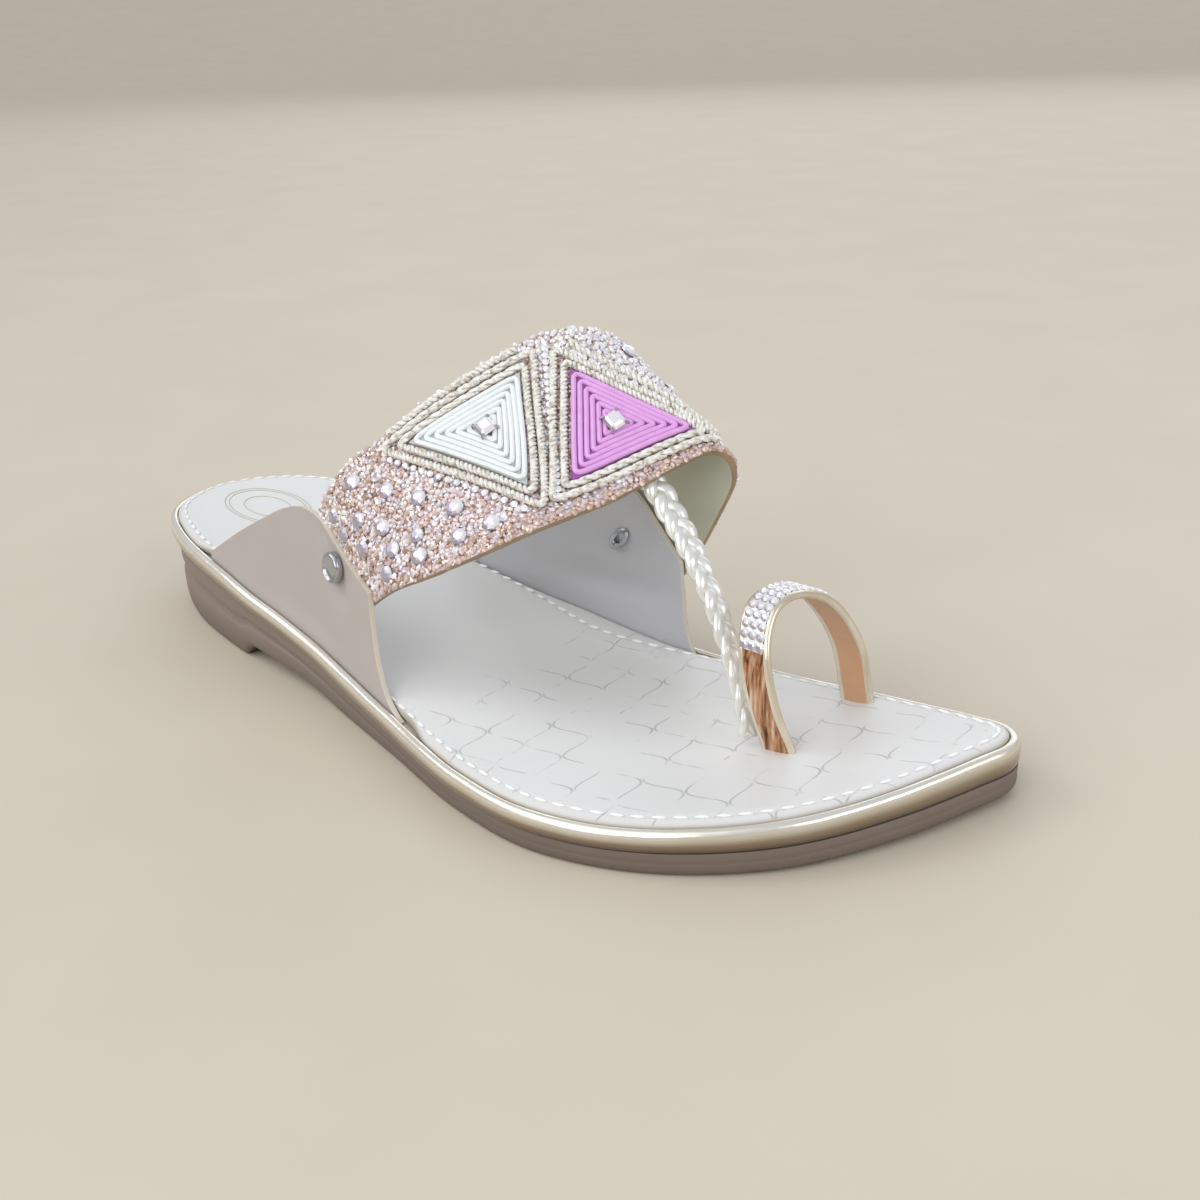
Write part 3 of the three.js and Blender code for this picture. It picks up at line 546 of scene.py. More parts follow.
# Glitter cloth: random tilted flakes about 0.5 mm across on a rose-gold ground.
def glitterCloth():
    material, tree, shader = startMaterial("glitter cloth", "#D9BBA9", Metallic=0.45, Roughness=0.3)
    place = objectPlace(tree)
    flakes = addNode(tree, "ShaderNodeTexVoronoi", {"Scale": 1000 / 0.55}, {"Vector": place})
    tone = addNode(tree, "ShaderNodeSeparateColor", links={0: flakes.outputs["Color"]}).outputs[0]
    tones = [(0.0, "#9A7C68"), (0.25, "#CDAA96"), (0.5, "#E2C6BD"), (0.75, "#DFD8E6"), (1.0, "#F8F4EE")]
    feed(shader, "Base Color", rampOf(tree, tone, tones))

    def vectors(operation, settings, links):
        settings = {"operation": operation, **settings}
        return addNode(tree, "ShaderNodeVectorMath", settings, links).outputs[0]

    lean = {1: (1.1, 1.1, 1.1), 2: (-0.55, -0.55, -0.55)}
    tilt = vectors("MULTIPLY_ADD", lean, {0: flakes.outputs["Color"]})
    moved = vectors("ADD", {}, {0: facingOf(tree), 1: tilt})
    feed(shader, "Normal", vectors("NORMALIZE", {}, {0: moved}))
    return material


# Crushed foil-backed glass: each crumb has its own tone in the mesh's attribute.
def crushedGlass():
    material, tree, shader = startMaterial(
        "crushed foil-backed glass", "#E8DED6", Metallic=0.2, Roughness=0.16, **{"Coat Weight": 0.6}
    )
    tone = addNode(tree, "ShaderNodeAttribute", {"attribute_name": "tone"}).outputs["Fac"]
    tones = [
        (0.0, "#9A8171"), (0.1, "#C9AB97"), (0.28, "#DABFB2"), (0.46, "#E0CBCA"), (0.62, "#DDD7E4"),
        (0.78, "#EFECEA"), (1.0, "#FFFFFF"),
    ]
    feed(shader, "Base Color", rampOf(tree, tone, tones))
    bumpOf(tree, shader, noiseOf(tree, 0.6, 2), 0.08, 0.7)
    return material


# Satin cord: soft sheen and a very fine grain.
def satinCord(name, light, dark):
    material, tree, shader = startMaterial(
        name, light, Roughness=0.38, **{"Sheen Weight": 0.35, "Sheen Roughness": 0.4}
    )
    place = objectPlace(tree)
    feed(shader, "Base Color", mixColours(tree, noiseOf(tree, 2.5, 3, place), dark, light))
    bumpOf(tree, shader, noiseOf(tree, 0.25, 2, place), 0.05, 0.6)
    return material


# Metallised twisted yarn of the rope frames, silver-white with browner patches.
def metallicRope():
    material, tree, shader = startMaterial(
        "metallised twisted yarn", "#F6F5F0", Metallic=0.1, Roughness=0.28
    )
    place = objectPlace(tree)
    tones = [(0.3, "#B9AF9B"), (0.44, "#E8E4DA"), (0.58, "#FAF9F5"), (0.75, "#FFFFFF")]
    feed(shader, "Base Color", rampOf(tree, noiseOf(tree, 1.2, 3, place), tones))
    bumpOf(tree, shader, noiseOf(tree, 0.3, 2, place), 0.08, 0.8)
    return material


# Faceted foil-backed stone: each facet gets a painted light tone by the way it faces, grey when turned away
# from one fixed direction and white when turned towards it.
def facetedStone(name, tint):
    material, tree, shader = startMaterial(
        name, tint, Metallic=0.25, Roughness=0.06, **{"Coat Weight": 1.0, "Coat Roughness": 0.03}
    )
    # Painted light on the facets: the more a facet faces this direction, the brighter it is.
    settings = {"operation": "DOT_PRODUCT", 1: (0.61, 0.37, 0.7)}
    turned = addNode(tree, "ShaderNodeVectorMath", settings, {0: facingOf(tree, "True Normal")})
    tones = [(0.0, "#A9A3AF"), (0.3, tint), (0.55, "#FBF1F6"), (0.75, "#EAF3F8"), (1.0, "#FFFFFF")]
    feed(shader, "Base Color", rampOf(tree, turned.outputs["Value"], tones))
    return material


# Nickel-plated steel rivet.
def nickelPlate():
    material, tree, shader = startMaterial("nickel-plated steel", "#C2C5C8", Metallic=1.0, Roughness=0.22)
    place = objectPlace(tree)
    feed(shader, "Base Color", mixColours(tree, noiseOf(tree, 2, 4, place), "#9EA2A6", "#D2D5D8"))
    bumpOf(tree, shader, noiseOf(tree, 0.5, 3, place), 0.02, 0.5)
    return material


def sewingThread():
    material, tree, shader = startMaterial("polyester sewing thread", "#FBFBFA", Roughness=0.5)
    bumpOf(tree, shader, noiseOf(tree, 0.3, 2), 0.06, 0.8)
    return material


materials = {
    "sole": unitSoleFoam(),
    "trim": goldTrim(),
    "footbed": footbedLeather(),
    "wing": upperLeather("taupe upper leather", "#BCB5B1", "#B1A9A4"),
    "wingLining": upperLeather("grey lining leather", "#CBCBD0", "#C0C0C4", 0.38),
    "cutEdge": upperLeather("pale cut edge", "#E3DACB", "#CFC3B1", 0.5),
    "glitter": glitterCloth(),
    "bandLining": upperLeather("green-grey band lining", "#C6C5B2", "#B8B7A4", 0.5),
    "bandEdge": foilLeather("folded gold edge", "#BBA286", "#8F7760", 0.5, 0.36),
    "crushedGlass": crushedGlass(),
    "whiteCord": satinCord("white satin cord", "#FAFCFC", "#E9EFEF"),
    # The pads under the cords are darker tones of their cords: painted shade in the gaps between the turns.
    "whitePad": satinCord("white pad under cord", "#C9CFCE", "#B4BABA"),
    "pinkCord": satinCord("pink satin cord", "#EFBAF0", "#DE9EE2"),
    "pinkPad": satinCord("pink pad under cord", "#B263B8", "#964CA0"),
    "rope": metallicRope(),
    "stone": facetedStone("clear faceted stone", "#EFEDEC"),
    "pearlStone": facetedStone("pearl-coated faceted stone", "#D6CDE8"),
    "nickel": nickelPlate(),
    "silver": foilLeather("silver plaited leather", "#FAFAF6", "#E4E3DC", 0.45, 0.27),
    "loopOuter": streakedFoil(),
    "loopInner": foilLeather("rose-gold foil leather", "#D8B08D", "#C99C78", 0.35, 0.36),
    "loopEdge": foilLeather("champagne rolled edge", "#F0E8D8", "#D5C8B0", 0.7, 0.22),
    "thread": sewingThread(),
}
print("materials made")


# A finished piece: millimetres to metres, smooth faces with sharp folds kept, and its place in the frame.
def addPiece(name, source, used, replaced=(), sharp=38):
    if isinstance(source, bmesh.types.BMesh):
        mesh = bpy.data.meshes.new(name)
        source.to_mesh(mesh)
        source.free()
    else:
        mesh = source
        mesh.name = name
    mesh.transform(Matrix.Scale(0.001, 4) @ Matrix.Translation(shoe["toOrigin"]))
    for key in used:
        mesh.materials.append(materials[key])
    mesh.polygons.foreach_set("use_smooth", [True] * len(mesh.polygons))
    mesh.set_sharp_from_angle(angle=math.radians(sharp))
    piece = bpy.data.objects.new(name, mesh)
    bpy.context.scene.collection.objects.link(piece)
    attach(piece, "root")
    if replaced:
        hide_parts(*replaced)
    print("made", name, len(mesh.polygons), "faces")
    return piece


def gridSheet(bm, cellsAlong, cellsAcross, place):
    made = bmesh.ops.create_grid(bm, x_segments=cellsAlong, y_segments=cellsAcross, size=1, calc_uvs=True)
    for vertex in made["verts"]:
        vertex.co = place((vertex.co.x + 1) / 2, (vertex.co.y + 1) / 2)
    bm.normal_update()
    return made["verts"]


# Sheet inside the outline, its four corners at shares of the outline.
sheetCorners = {"heelOuter": 0.055, "toeOuter": 0.44, "toeInner": 0.545, "heelInner": 0.945}


# An outset from the outline is a number, or follows the place along and round the shoe.
def outsetAt(outset, point, share):
    return outset(point.x, share) if callable(outset) else outset


def outlineSheet(bm, outset, height, cellsAlong, cellsAcross):
    layer = bm.verts.layers.float["share"]
    corner = sheetCorners

    def edgeShare(u, v):
        if v < 1e-5:
            return corner["heelOuter"] + (corner["toeOuter"] - corner["heelOuter"]) * u
        if v > 1 - 1e-5:
            return corner["heelInner"] + (corner["toeInner"] - corner["heelInner"]) * u
        if u < 1e-5:
            return corner["heelOuter"] + (corner["heelInner"] - 1 - corner["heelOuter"]) * v
        if u > 1 - 1e-5:
            return corner["toeOuter"] + (corner["toeInner"] - corner["toeOuter"]) * v
        return None

    def edgePoint(u, v):
        share = edgeShare(u, v) % 1
        point, outward = outlineAt(share)
        return point + outward * outsetAt(outset, point, share)

    known = {}

    def stored(u, v):
        key = (round(u, 6), round(v, 6))
        if key not in known:
            known[key] = edgePoint(u, v)
        return known[key]

    made = bmesh.ops.create_grid(bm, x_segments=cellsAlong, y_segments=cellsAcross, size=1)
    for vertex in made["verts"]:
        u, v = (vertex.co.x + 1) / 2, (vertex.co.y + 1) / 2
        share = edgeShare(u, v)
        if share is not None:
            point = stored(u, v).copy()
            vertex[layer] = share % 1
        else:
            sides = stored(u, 0) * (1 - v) + stored(u, 1) * v + stored(0, v) * (1 - u) + stored(1, v) * u
            corners = (
                stored(0, 0) * (1 - u) * (1 - v) + stored(1, 0) * u * (1 - v)
                + stored(0, 1) * (1 - u) * v + stored(1, 1) * u * v
            )
            point = sides - corners
        fade = (1 - (2 * u - 1) ** 4) * (1 - (2 * v - 1) ** 4)
        point.z = height(point.x, point.y, fade)
        vertex.co = point
    faces = {face for vertex in made["verts"] for face in vertex.link_faces}
    return [edge for edge in bm.edges if edge.is_boundary and edge.link_faces[0] in faces]


# Carries an outline ring on to the next outset and height.
def carryRing(bm, edges, outset, height):
    layer = bm.verts.layers.float["share"]
    made = bmesh.ops.extrude_edge_only(bm, edges=edges)["geom"]
    verts = {item for item in made if isinstance(item, bmesh.types.BMVert)}
    for vertex in verts:
        point, outward = outlineAt(vertex[layer])
        point = point + outward * outsetAt(outset, point, vertex[layer])
        point.z = height(point.x, point.y, 0)
        vertex.co = point
    return [e for e in made if isinstance(e, bmesh.types.BMEdge) and set(e.verts) <= verts]


# Closed piece from a top sheet over its edge to a bottom sheet. Each level is an outset and a height.
def layeredPiece(levels, cellsAlong, cellsAcross):
    bm = bmesh.new()
    bm.verts.layers.float.new("share")
    edges = outlineSheet(bm, *levels[0], cellsAlong, cellsAcross)
    for outset, height in levels[1:]:
        edges = carryRing(bm, edges, outset, height)
    outlineSheet(bm, *levels[-1], cellsAlong, cellsAcross)
    bmesh.ops.remove_doubles(bm, verts=bm.verts, dist=0.002)
    bmesh.ops.recalc_face_normals(bm, faces=bm.faces)
    return bm


# Outsole: the moulded unit with its step, lugs and bevelled tread edge.
outsoleSizes = {
    "cellsAlong": 320,
    "cellsAcross": 64,
    "lugPitch": 8.0,
    "lugGap": 2.4,
    "lugDepth": 1.4,
    "lugMargin": 7.0,
    "lugSlope": 0.9,
    "lugsFrom": 0.05,
    "lugsTo": 0.82,
    "heelReach": 0.5,
    "toeReach": 2.0,
    "topGap": 0.4,
    "stepFade": 0.85,
    "fadeFrom": 0.35,
    "fadeLength": 0.3,
    "stepFoot": 0.4,
}
outsoleWall = table(
    "inset part",
    (0.1, 1), (0.02, 0.975), (0, 0.88), (0, 0.76), (0.05, 0.68), (0.25, 0.645), (0.5, 0.62),
    (0.6, 0.59), (0.6, 0.53), (0.55, 0.505), (0.3, 0.485), (0.08, 0.465), (0, 0.44), (0, 0.34),
    (0.05, 0.24), (0.14, 0.16), (0.4, 0.08), (0.8, 0.03), (1.4, 0),
)


def makeOutsole():
    sizes = outsoleSizes
    grooves = []
    x = alongToX(sizes["lugsFrom"])
    while x < alongToX(sizes["lugsTo"]):
        if soleBottom(x - sizes["lugGap"]) + soleBottom(x + sizes["lugGap"]) == 0:
            grooves.append(x)
        x += sizes["lugPitch"]

    def at(part):
        def height(x, y, fade):
            low = soleBottom(x)
            high = footbedTop(x) - rimDepth(x) - shoe["gap"] * sizes["topGap"]
            return low + (high - low) * part
        return height

    def tread(x, y, fade):
        low = soleBottom(x)
        near = min(grooves, key=lambda middle: abs(middle - x))
        room = min(y - edgeAcross("lateral", x), edgeAcross("medial", x) - y) - sizes["lugMargin"]
        cut = min(sizes["lugGap"] / 2 - abs(near - x), room) / sizes["lugSlope"]
        return low + sizes["lugDepth"] * min(max(cut + 0.5, 0), 1)

    def reach(inset, stepped=True):
        def outset(x, share):
            along = x / shoe["footbedLength"] + 0.5
            fade = min(max((along - sizes["fadeFrom"]) / sizes["fadeLength"], 0), 1)
            shallow = 1 - sizes["stepFade"] * fade
            flush = sizes["heelReach"] + (sizes["toeReach"] - sizes["heelReach"]) * along
            return flush - (inset * shallow if stepped else inset)
        return outset

    levels = [
        (reach(row["inset"], row["part"] > sizes["stepFoot"]), at(row["part"])) for row in outsoleWall[:-1]
    ]
    levels.append((reach(outsoleWall[-1]["inset"], False), tread))
    bm = layeredPiece(levels, sizes["cellsAlong"], sizes["cellsAcross"])
    return addPiece("outsole", bm, ["sole"], ["outsole"])


# Rim: the board's covered edge, a rounded bead standing proud of the footbed.
rimSizes = {"cellsAlong": 200, "cellsAcross": 50, "profileSteps": 26, "wrinkle": 0.05, "growthShare": 1.7}
beadRows = table(
    "outset drop",
    (0.0, 2.5), (0.0, 1.3), (0.3, 0.97), (0.8, 0.9), (1.6, 1.2), (2.12, 1.95), (2.3, 2.95),
    (2.3, 3.8), (2.2, 4.6), (1.95, 5.15), (1.6, 5.36), (0.4, 5.4),
)


def makeRim():
    def at(drop):
        def height(x, y, fade):
            wave = math.sin(x * 0.31) * math.sin(y * 0.27 + 1.3)
            wrinkle = rimSizes["wrinkle"] * wave if 0.9 < drop < 4 else 0
            grown = max(drop - shoe["insoleThickness"], 0) * (rimDepth(x) / shoe["rimThickness"] - 1)
            return footbedTop(x) - drop - grown * rimSizes["growthShare"] + wrinkle
        return height

    levels = [(0.0, lambda x, y, fade: bedFloor(x))]
    for step in range(1, rimSizes["profileSteps"] + 1):
        share = step / rimSizes["profileSteps"]
        levels.append((blend(beadRows, "outset", share), at(blend(beadRows, "drop", share))))
    bm = layeredPiece(levels, rimSizes["cellsAlong"], rimSizes["cellsAcross"])
    return addPiece("midsoleRim", bm, ["trim"], ["midsole_rim"])


# Toe loop places are shared by the loop and by the hollows its feet press in the insole.
loopSizes = {
    "span": 33.0,
    "height": 30.5,
    "strapWidth": 7.4,
    "wall": 1.7,
    "lean": 9.0,
    "along": 0.851,
    "across": 0.231,
    "edgeRadius": 0.95,
    "edgeAcross": 0.84,
    "edgeSteps": 160,
    "strapReach": 0.85,
    "cellsAlong": 110,
    "cellsAcross": 10,
    "stoneRadius": 1.12,
    "stoneRows": 3,
    "stoneStart": 0.3,
    "stoneEnd": 0.68,
    "stoneReach": 0.55,
    "bedReach": 0.72,
    "bedLift": 0.12,
    "bedCells": (60, 4),
}


def loopLine(share):
    middleX = alongToX(loopSizes["along"])
    middleY = loopSizes["across"] * shoe["ballWidth"]
    up = blend(loopRows, "up", share)
    x = middleX - loopSizes["lean"] * max(up, 0)
    z = footbedTop(middleX) + up * loopSizes["height"]
    half = loopSizes["strapWidth"] / 2
    front = Vector((x + half, middleY + blend(loopRows, "front", share) * loopSizes["span"], z))
    rear = Vector((x - half, middleY + blend(loopRows, "rear", share) * loopSizes["span"], z))
    return front, rear


def loopPoint(share, across, out=0.0):
    front, rear = loopLine(share)
    middle = (front + rear) / 2
    reach = (front - rear) / 2
    after = loopLine(min(share + 0.01, 1))
    before = loopLine(max(share - 0.01, 0))
    run = after[0] + after[1] - before[0] - before[1]
    face = run.cross(reach).normalized()
    return middle + reach * across + face * out, face, reach.normalized()


# Insole: padded sheet with a stitched channel, a shallow dish under heel and ball.
insoleSizes = {
    "cellsAlong": 190,
    "cellsAcross": 60,
    "slotHollow": 0.7,
    "slotReach": 2.6,
    "slotLong": 1.6,
    "seamInset": 2.5,
    "seamShare": 0.93,
    "wingSeam": 6.5,
    "wingSeamAt": 14,
    "wingSeamReach": 24,
    "openGroove": 1.9,
    "closedGroove": 0.25,
    "grooveFade": 0.045,
    "stitchPitch": 4.1,
    "stitchLength": 3.1,
    "stitchRadius": 0.4,
    "stitchLift": 0.1,
    "stampAlong": 0.11,
    "stampAcross": 0.02,
    "stampRadius": 12.0,
    "stampLong": 1.35,
    "stampWide": 0.85,
    "stampRings": (1.0, 0.9, 0.55),
    "stampSteps": 72,
    "stampLine": 0.14,
    "stampLift": 0.03,
}
dishRows = table("x y long wide depth", (-92, 1, 26, 18, 0.7), (48, -2, 34, 24, 0.45))
padRows = table(
    "inside part rise",
    (5, 0, 0.15), (2.4, 0, 0.15), (1.5, 0, 0.14), (1, 0, 0.1), (0.55, 0, -0.02), (0, 0, -0.14),
    (0, 0.16, -0.1), (0, 0.32, -0.12), (0, 0.48, -0.2), (0, 0.62, -0.32), (0, 0.75, -0.47),
    (0, 0.86, -0.65), (0, 0.94, -0.83), (0, 0.985, -1.0), (0, 1, -1.25), (0, 1, -1.9), (0.5, 1, -2.2),
)
loopFeet = [loopPoint(share, 0)[0] for share in (0.04, 0.96)]


# The insole's edge lies close to the bead, and stands back from it where a wing comes up between them.
wingReach = {"lateral": (0.16, 0.582), "medial": (0.28, 0.692)}


def onOuterSide(share):
    return share < toeIndex / outlineSteps


def grooveAt(x, share):
    sizes = insoleSizes
    start, end = wingReach["lateral" if onOuterSide(share) else "medial"]
    along = x / shoe["footbedLength"] + 0.5
    inside = min(along - start, end - along)
    t = min(max(inside / sizes["grooveFade"] + 0.5, 0), 1)
    return sizes["closedGroove"] + (sizes["openGroove"] - sizes["closedGroove"]) * t * t * (3 - 2 * t)


# The seam runs further in beside the inner wing.
def seamAt(x, share):
    sizes = insoleSizes
    near = math.exp(-(((x - sizes["wingSeamAt"]) / sizes["wingSeamReach"]) ** 2))
    return sizes["seamInset"] + (0 if onOuterSide(share) else sizes["wingSeam"] * near)


def padOutset(row):
    def outset(x, share):
        seam = seamAt(x, share)
        return -seam - row["inside"] + row["part"] * (seam - grooveAt(x, share))
    return outset


def makeInsole():
    sizes = insoleSizes

    def at(rise):
        def height(x, y, fade):
            dish = 0
            for row in dishRows:
                away = ((x - row["x"]) / row["long"]) ** 2 + ((y - row["y"]) / row["wide"]) ** 2
                dish += row["depth"] * math.exp(-away)
            lift = footbedTop(x) + rise - dish * min(fade * 1.5, 1)
            for foot in loopFeet:
                away = math.hypot((x - foot.x) / sizes["slotLong"], y - foot.y) / sizes["slotReach"]
                lift -= sizes["slotHollow"] * math.exp(-(away ** 2)) if rise > -0.2 else 0
            return lift
        return height

    levels = [(padOutset(row), at(row["rise"])) for row in padRows]
    bm = layeredPiece(levels, sizes["cellsAlong"], sizes["cellsAcross"])
    surface = BVHTree.FromBMesh(bm)
    insole = addPiece("insole", bm, ["footbed"], ["insole"], sharp=60)
    return surface


# One mesh from a small shape set at many places. Each place is a matrix and a tone.
def joinedCopies(template, places):
    corners = np.array([tuple(v.co) for v in template.verts])
    faces = [[v.index for v in face.verts] for face in template.faces]
    template.free()
    matrices = np.array([[list(row) for row in matrix] for matrix, tone in places])
    moved = np.einsum("nij,vj->nvi", matrices[:, :3, :3], corners) + matrices[:, None, :3, 3]
    mesh = bpy.data.meshes.new("copies")
    allFaces = [
        [index + copy * len(corners) for index in face] for copy in range(len(places)) for face in faces
    ]
    mesh.from_pydata([tuple(p) for p in moved.reshape(-1, 3)], [], allFaces)
    tones = mesh.attributes.new("tone", "FLOAT", "POINT")
    each = np.repeat([tone for matrix, tone in places], len(corners))
    tones.data.foreach_set("value", each.astype(np.float32))
    return mesh


def frameOf(origin, x, z, scale=(1, 1, 1)):
    z = z.normalized()
    y = z.cross(x).normalized()
    x = y.cross(z)
    turned = Matrix((x, y, z)).transposed().to_4x4()
    return Matrix.Translation(origin) @ turned @ Matrix.Diagonal((*scale, 1))


def makeStitches():
    sizes = insoleSizes
    template = bmesh.new()
    bmesh.ops.create_uvsphere(template, u_segments=8, v_segments=6, radius=sizes["stitchRadius"])
    bmesh.ops.rotate(template, verts=template.verts, matrix=Matrix.Rotation(math.pi / 2, 3, "Y"))
    template.verts.index_update()
    count = int(outlineLength * sizes["seamShare"] / sizes["stitchPitch"])
    places = []
    for index in range(count):
        ends = []
        for step in (-0.3, 0, 0.3):
            share = (index + step) / count
            point, outward = outlineAt(share)
            point = point - outward * seamAt(point.x, share % 1)
            point.z = footbedTop(point.x) + sizes["stitchLift"]
            ends.append(point)
        run = ends[2] - ends[0]
        stretch = sizes["stitchLength"] / 2 / sizes["stitchRadius"]
        places.append((frameOf(ends[1], run, Vector((0, 0, 1)), (stretch, 1, 0.8)), 0.5))
    return addPiece("insoleStitches", joinedCopies(template, places), ["thread"])


# Plain heel stamp: three thin oval lines, one inside another, that follow the footbed's surface.
def makeStamp(surface):
    sizes = insoleSizes
    middleX = alongToX(sizes["stampAlong"])
    middleY = sizes["stampAcross"] * shoe["ballWidth"]
    paths = []
    for ring in sizes["stampRings"]:
        path = []
        for step in range(sizes["stampSteps"]):
            turn = step / sizes["stampSteps"] * math.tau
            x = middleX + math.cos(turn) * sizes["stampRadius"] * sizes["stampLong"] * ring
            y = middleY + math.sin(turn) * sizes["stampRadius"] * sizes["stampWide"] * ring
            landing = surface.ray_cast(Vector((x, y, shoe["bandRise"])), Vector((0, 0, -1)))[0]
            path.append(landing + Vector((0, 0, sizes["stampLift"])))
        paths.append(path)
    rings = cordMesh(paths, sizes["stampLine"], closed=True)
    return addPiece("heelRings", rings, ["bandLining"])


# Round cords along paths, made as bevelled curves and turned into one mesh.
def cordMesh(paths, radius, closed=False, sides=8):
    curve = bpy.data.curves.new("cord", "CURVE")
    curve.dimensions = "3D"
    curve.bevel_depth = radius
    curve.bevel_resolution = (sides - 4) // 2
    curve.use_fill_caps = not closed
    for path in paths:
        spline = curve.splines.new("POLY")
        spline.points.add(len(path) - 1)
        for index, place in enumerate(path):
            spline.points[index].co = (*place, 1)
        spline.use_cyclic_u = closed
    holder = bpy.data.objects.new("cord", curve)
    bpy.context.scene.collection.objects.link(holder)
    bpy.context.view_layer.update()
    mesh = bpy.data.meshes.new_from_object(holder.evaluated_get(bpy.context.evaluated_depsgraph_get()))
    bpy.data.objects.remove(holder)
    bpy.data.curves.remove(curve)
    return mesh


# Carries a straight mesh (x along, y across, z out) on to a path with known outward directions.
def wrapMesh(mesh, path, outwards, length, closed=False, narrow=None):
    count = len(path)
    last = count if closed else count - 1
    for vertex in mesh.vertices:
        place = min(max(vertex.co.x / length, 0), 1) * last
        low = min(int(place), last - 1)
        part = place - low
        a, b = path[low % count], path[(low + 1) % count]
        out = outwards[low % count].lerp(outwards[(low + 1) % count], part).normalized()
        before = path[(low - 1) % count] if closed or low > 0 else a
        after = path[(low + 2) % count] if closed or low + 2 < count else b
        run = (after - before).normalized()
        side = out.cross(run).normalized()
        size = 1 + (narrow - 1) * place / last if narrow else 1
        vertex.co = a.lerp(b, part) + side * vertex.co.y * size + out * vertex.co.z * size
    mesh.update()
    return mesh


# Wings: coated leather quarters with a rounded light edge and soft creases.
wingSizes = {
    "cellsAlong": 90,
    "cellsUp": 44,
    "edgeBevel": 0.3,
    "dimpleDepth": 0.45,
    "dimpleReach": 5.2,
    "rippleDepth": 0.16,
}
wingCreases = {
    "lateral": [
        {"share": 0.62, "up": 0.98, "toShare": 0.78, "toUp": 0.62, "depth": 0.9, "width": 3.0},
        {"share": 0.2, "up": 0.3, "toShare": 0.75, "toUp": 0.16, "depth": 0.35, "width": 5.0},
    ],
    "medial": [
        {"share": 0.5, "up": 0.28, "toShare": 0.96, "toUp": 0.55, "depth": -1.1, "width": 4.0},
        {"share": 0.3, "up": 0.2, "toShare": 0.7, "toUp": 0.12, "depth": 0.5, "width": 5.0},
    ],
}
rivetPlaces = {"lateral": (0.432, 0.35), "medial": (0.568, 0.312)}
rivetSizes = {
    "headRadius": 3.8,
    "headHeight": 1.9,
    "shankRadius": 1.4,
    "backRadius": 3.0,
    "bore": 1.15,
    "boreDepth": 1.4,
    "steps": 48,
}
# The inner rivet's back is pressed to an oval: its half-axes as shares of round, its tilt and its shift.
eyelet = {"long": 1.4, "short": 0.66, "tilt": 42, "shift": 1.2}


def rivetSeat(side):
    along, up = rivetPlaces[side]
    outward = -1 if side == "lateral" else 1
    x = alongToX(along)
    z = shoe["ballLift"] + up * shoe["bandRise"]

    def at(dx, dz):
        return Vector((x + dx, sideWall(side, x + dx, z + dz), z + dz))

    axis = (at(1, 0) - at(-1, 0)).cross(at(0, 1) - at(0, -1)).normalized()
    return at(0, 0), axis if axis.y * outward > 0 else -axis


def makeWing(side):
    outward = -1 if side == "lateral" else 1
    seat, axis = rivetSeat(side)
    lines = []
    for crease in wingCreases[side]:
        start = wingPoint(side, crease["share"], crease["up"])
        lines.append((start, wingPoint(side, crease["toShare"], crease["toUp"]), crease))

    def place(u, v):
        point = wingPoint(side, u, v)
        push = 0.0
        for start, end, crease in lines:
            run = end - start
            t = min(max((point - start).dot(run) / run.length_squared, -0.15), 1.15)
            away = (point - start - run * t).length
            fade = 1 - min(max(abs(t - 0.5) * 2 - 0.6, 0) / 0.7, 1)
            push += crease["depth"] * math.exp(-((away / crease["width"]) ** 2)) * fade
        away = (point - seat).length / wingSizes["dimpleReach"]
        dimple = wingSizes["dimpleDepth"] * math.exp(-(away ** 2))
        ripple = wingSizes["rippleDepth"] * math.sin(u * 9 + v * 4) * (1 - v) * v * 4
        point.y -= outward * (push + dimple * (1 if side == "lateral" else -1)) * min(v * 5, 1)
        point.y += outward * ripple
        return point

    bm = bmesh.new()
    gridSheet(bm, wingSizes["cellsAlong"], wingSizes["cellsUp"], place)
    facing = sum((face.normal.y for face in bm.faces), 0.0)
    if facing * outward < 0:
        bmesh.ops.reverse_faces(bm, faces=bm.faces)
    keys = ["wing", "wingLining", "cutEdge"]
    name = "outerWing" if side == "lateral" else "innerWing"
    wing = addPiece(name, bm, keys, [f"wing_{side}"], sharp=60)
    thicken(wing, shoe["wingWall"], 0.0, wingSizes["edgeBevel"])
    return wing


# A wall for a sheet: its second material lines it and its third covers the cut edge.
def thicken(piece, wall, offset, bevelWidth):
    solid = piece.modifiers.new("wall", "SOLIDIFY")
    solid.thickness = wall / 1000
    solid.offset = offset
    solid.use_even_offset = True
    solid.material_offset = 1
    solid.material_offset_rim = 2
    bevel = piece.modifiers.new("edge", "BEVEL")
    bevel.width = bevelWidth / 1000
    bevel.segments = 3
    bevel.limit_method = "ANGLE"
    bevel.angle_limit = math.radians(50)


# Band: glitter cloth over a lined strap, its edges folded in gold.
bandSizes = {"cellsRound": 180, "cellsDown": 44, "wall": 1.8, "edgeBevel": 0.5}


def makeBand():
    bm = bmesh.new()
    gridSheet(bm, bandSizes["cellsRound"], bandSizes["cellsDown"], bandPoint)
    middle = min(bm.faces, key=lambda face: (face.calc_center_median() - bandPoint(0.5, 0.5)).length)
    if middle.normal.dot(bandNormal(0.5, 0.5)) < 0:
        bmesh.ops.reverse_faces(bm, faces=bm.faces)
    band = addPiece("bandStrap", bm, ["glitter", "bandLining", "bandEdge"], ["vamp_band"])
    thicken(band, bandSizes["wall"], -1.0, bandSizes["edgeBevel"])
    return band


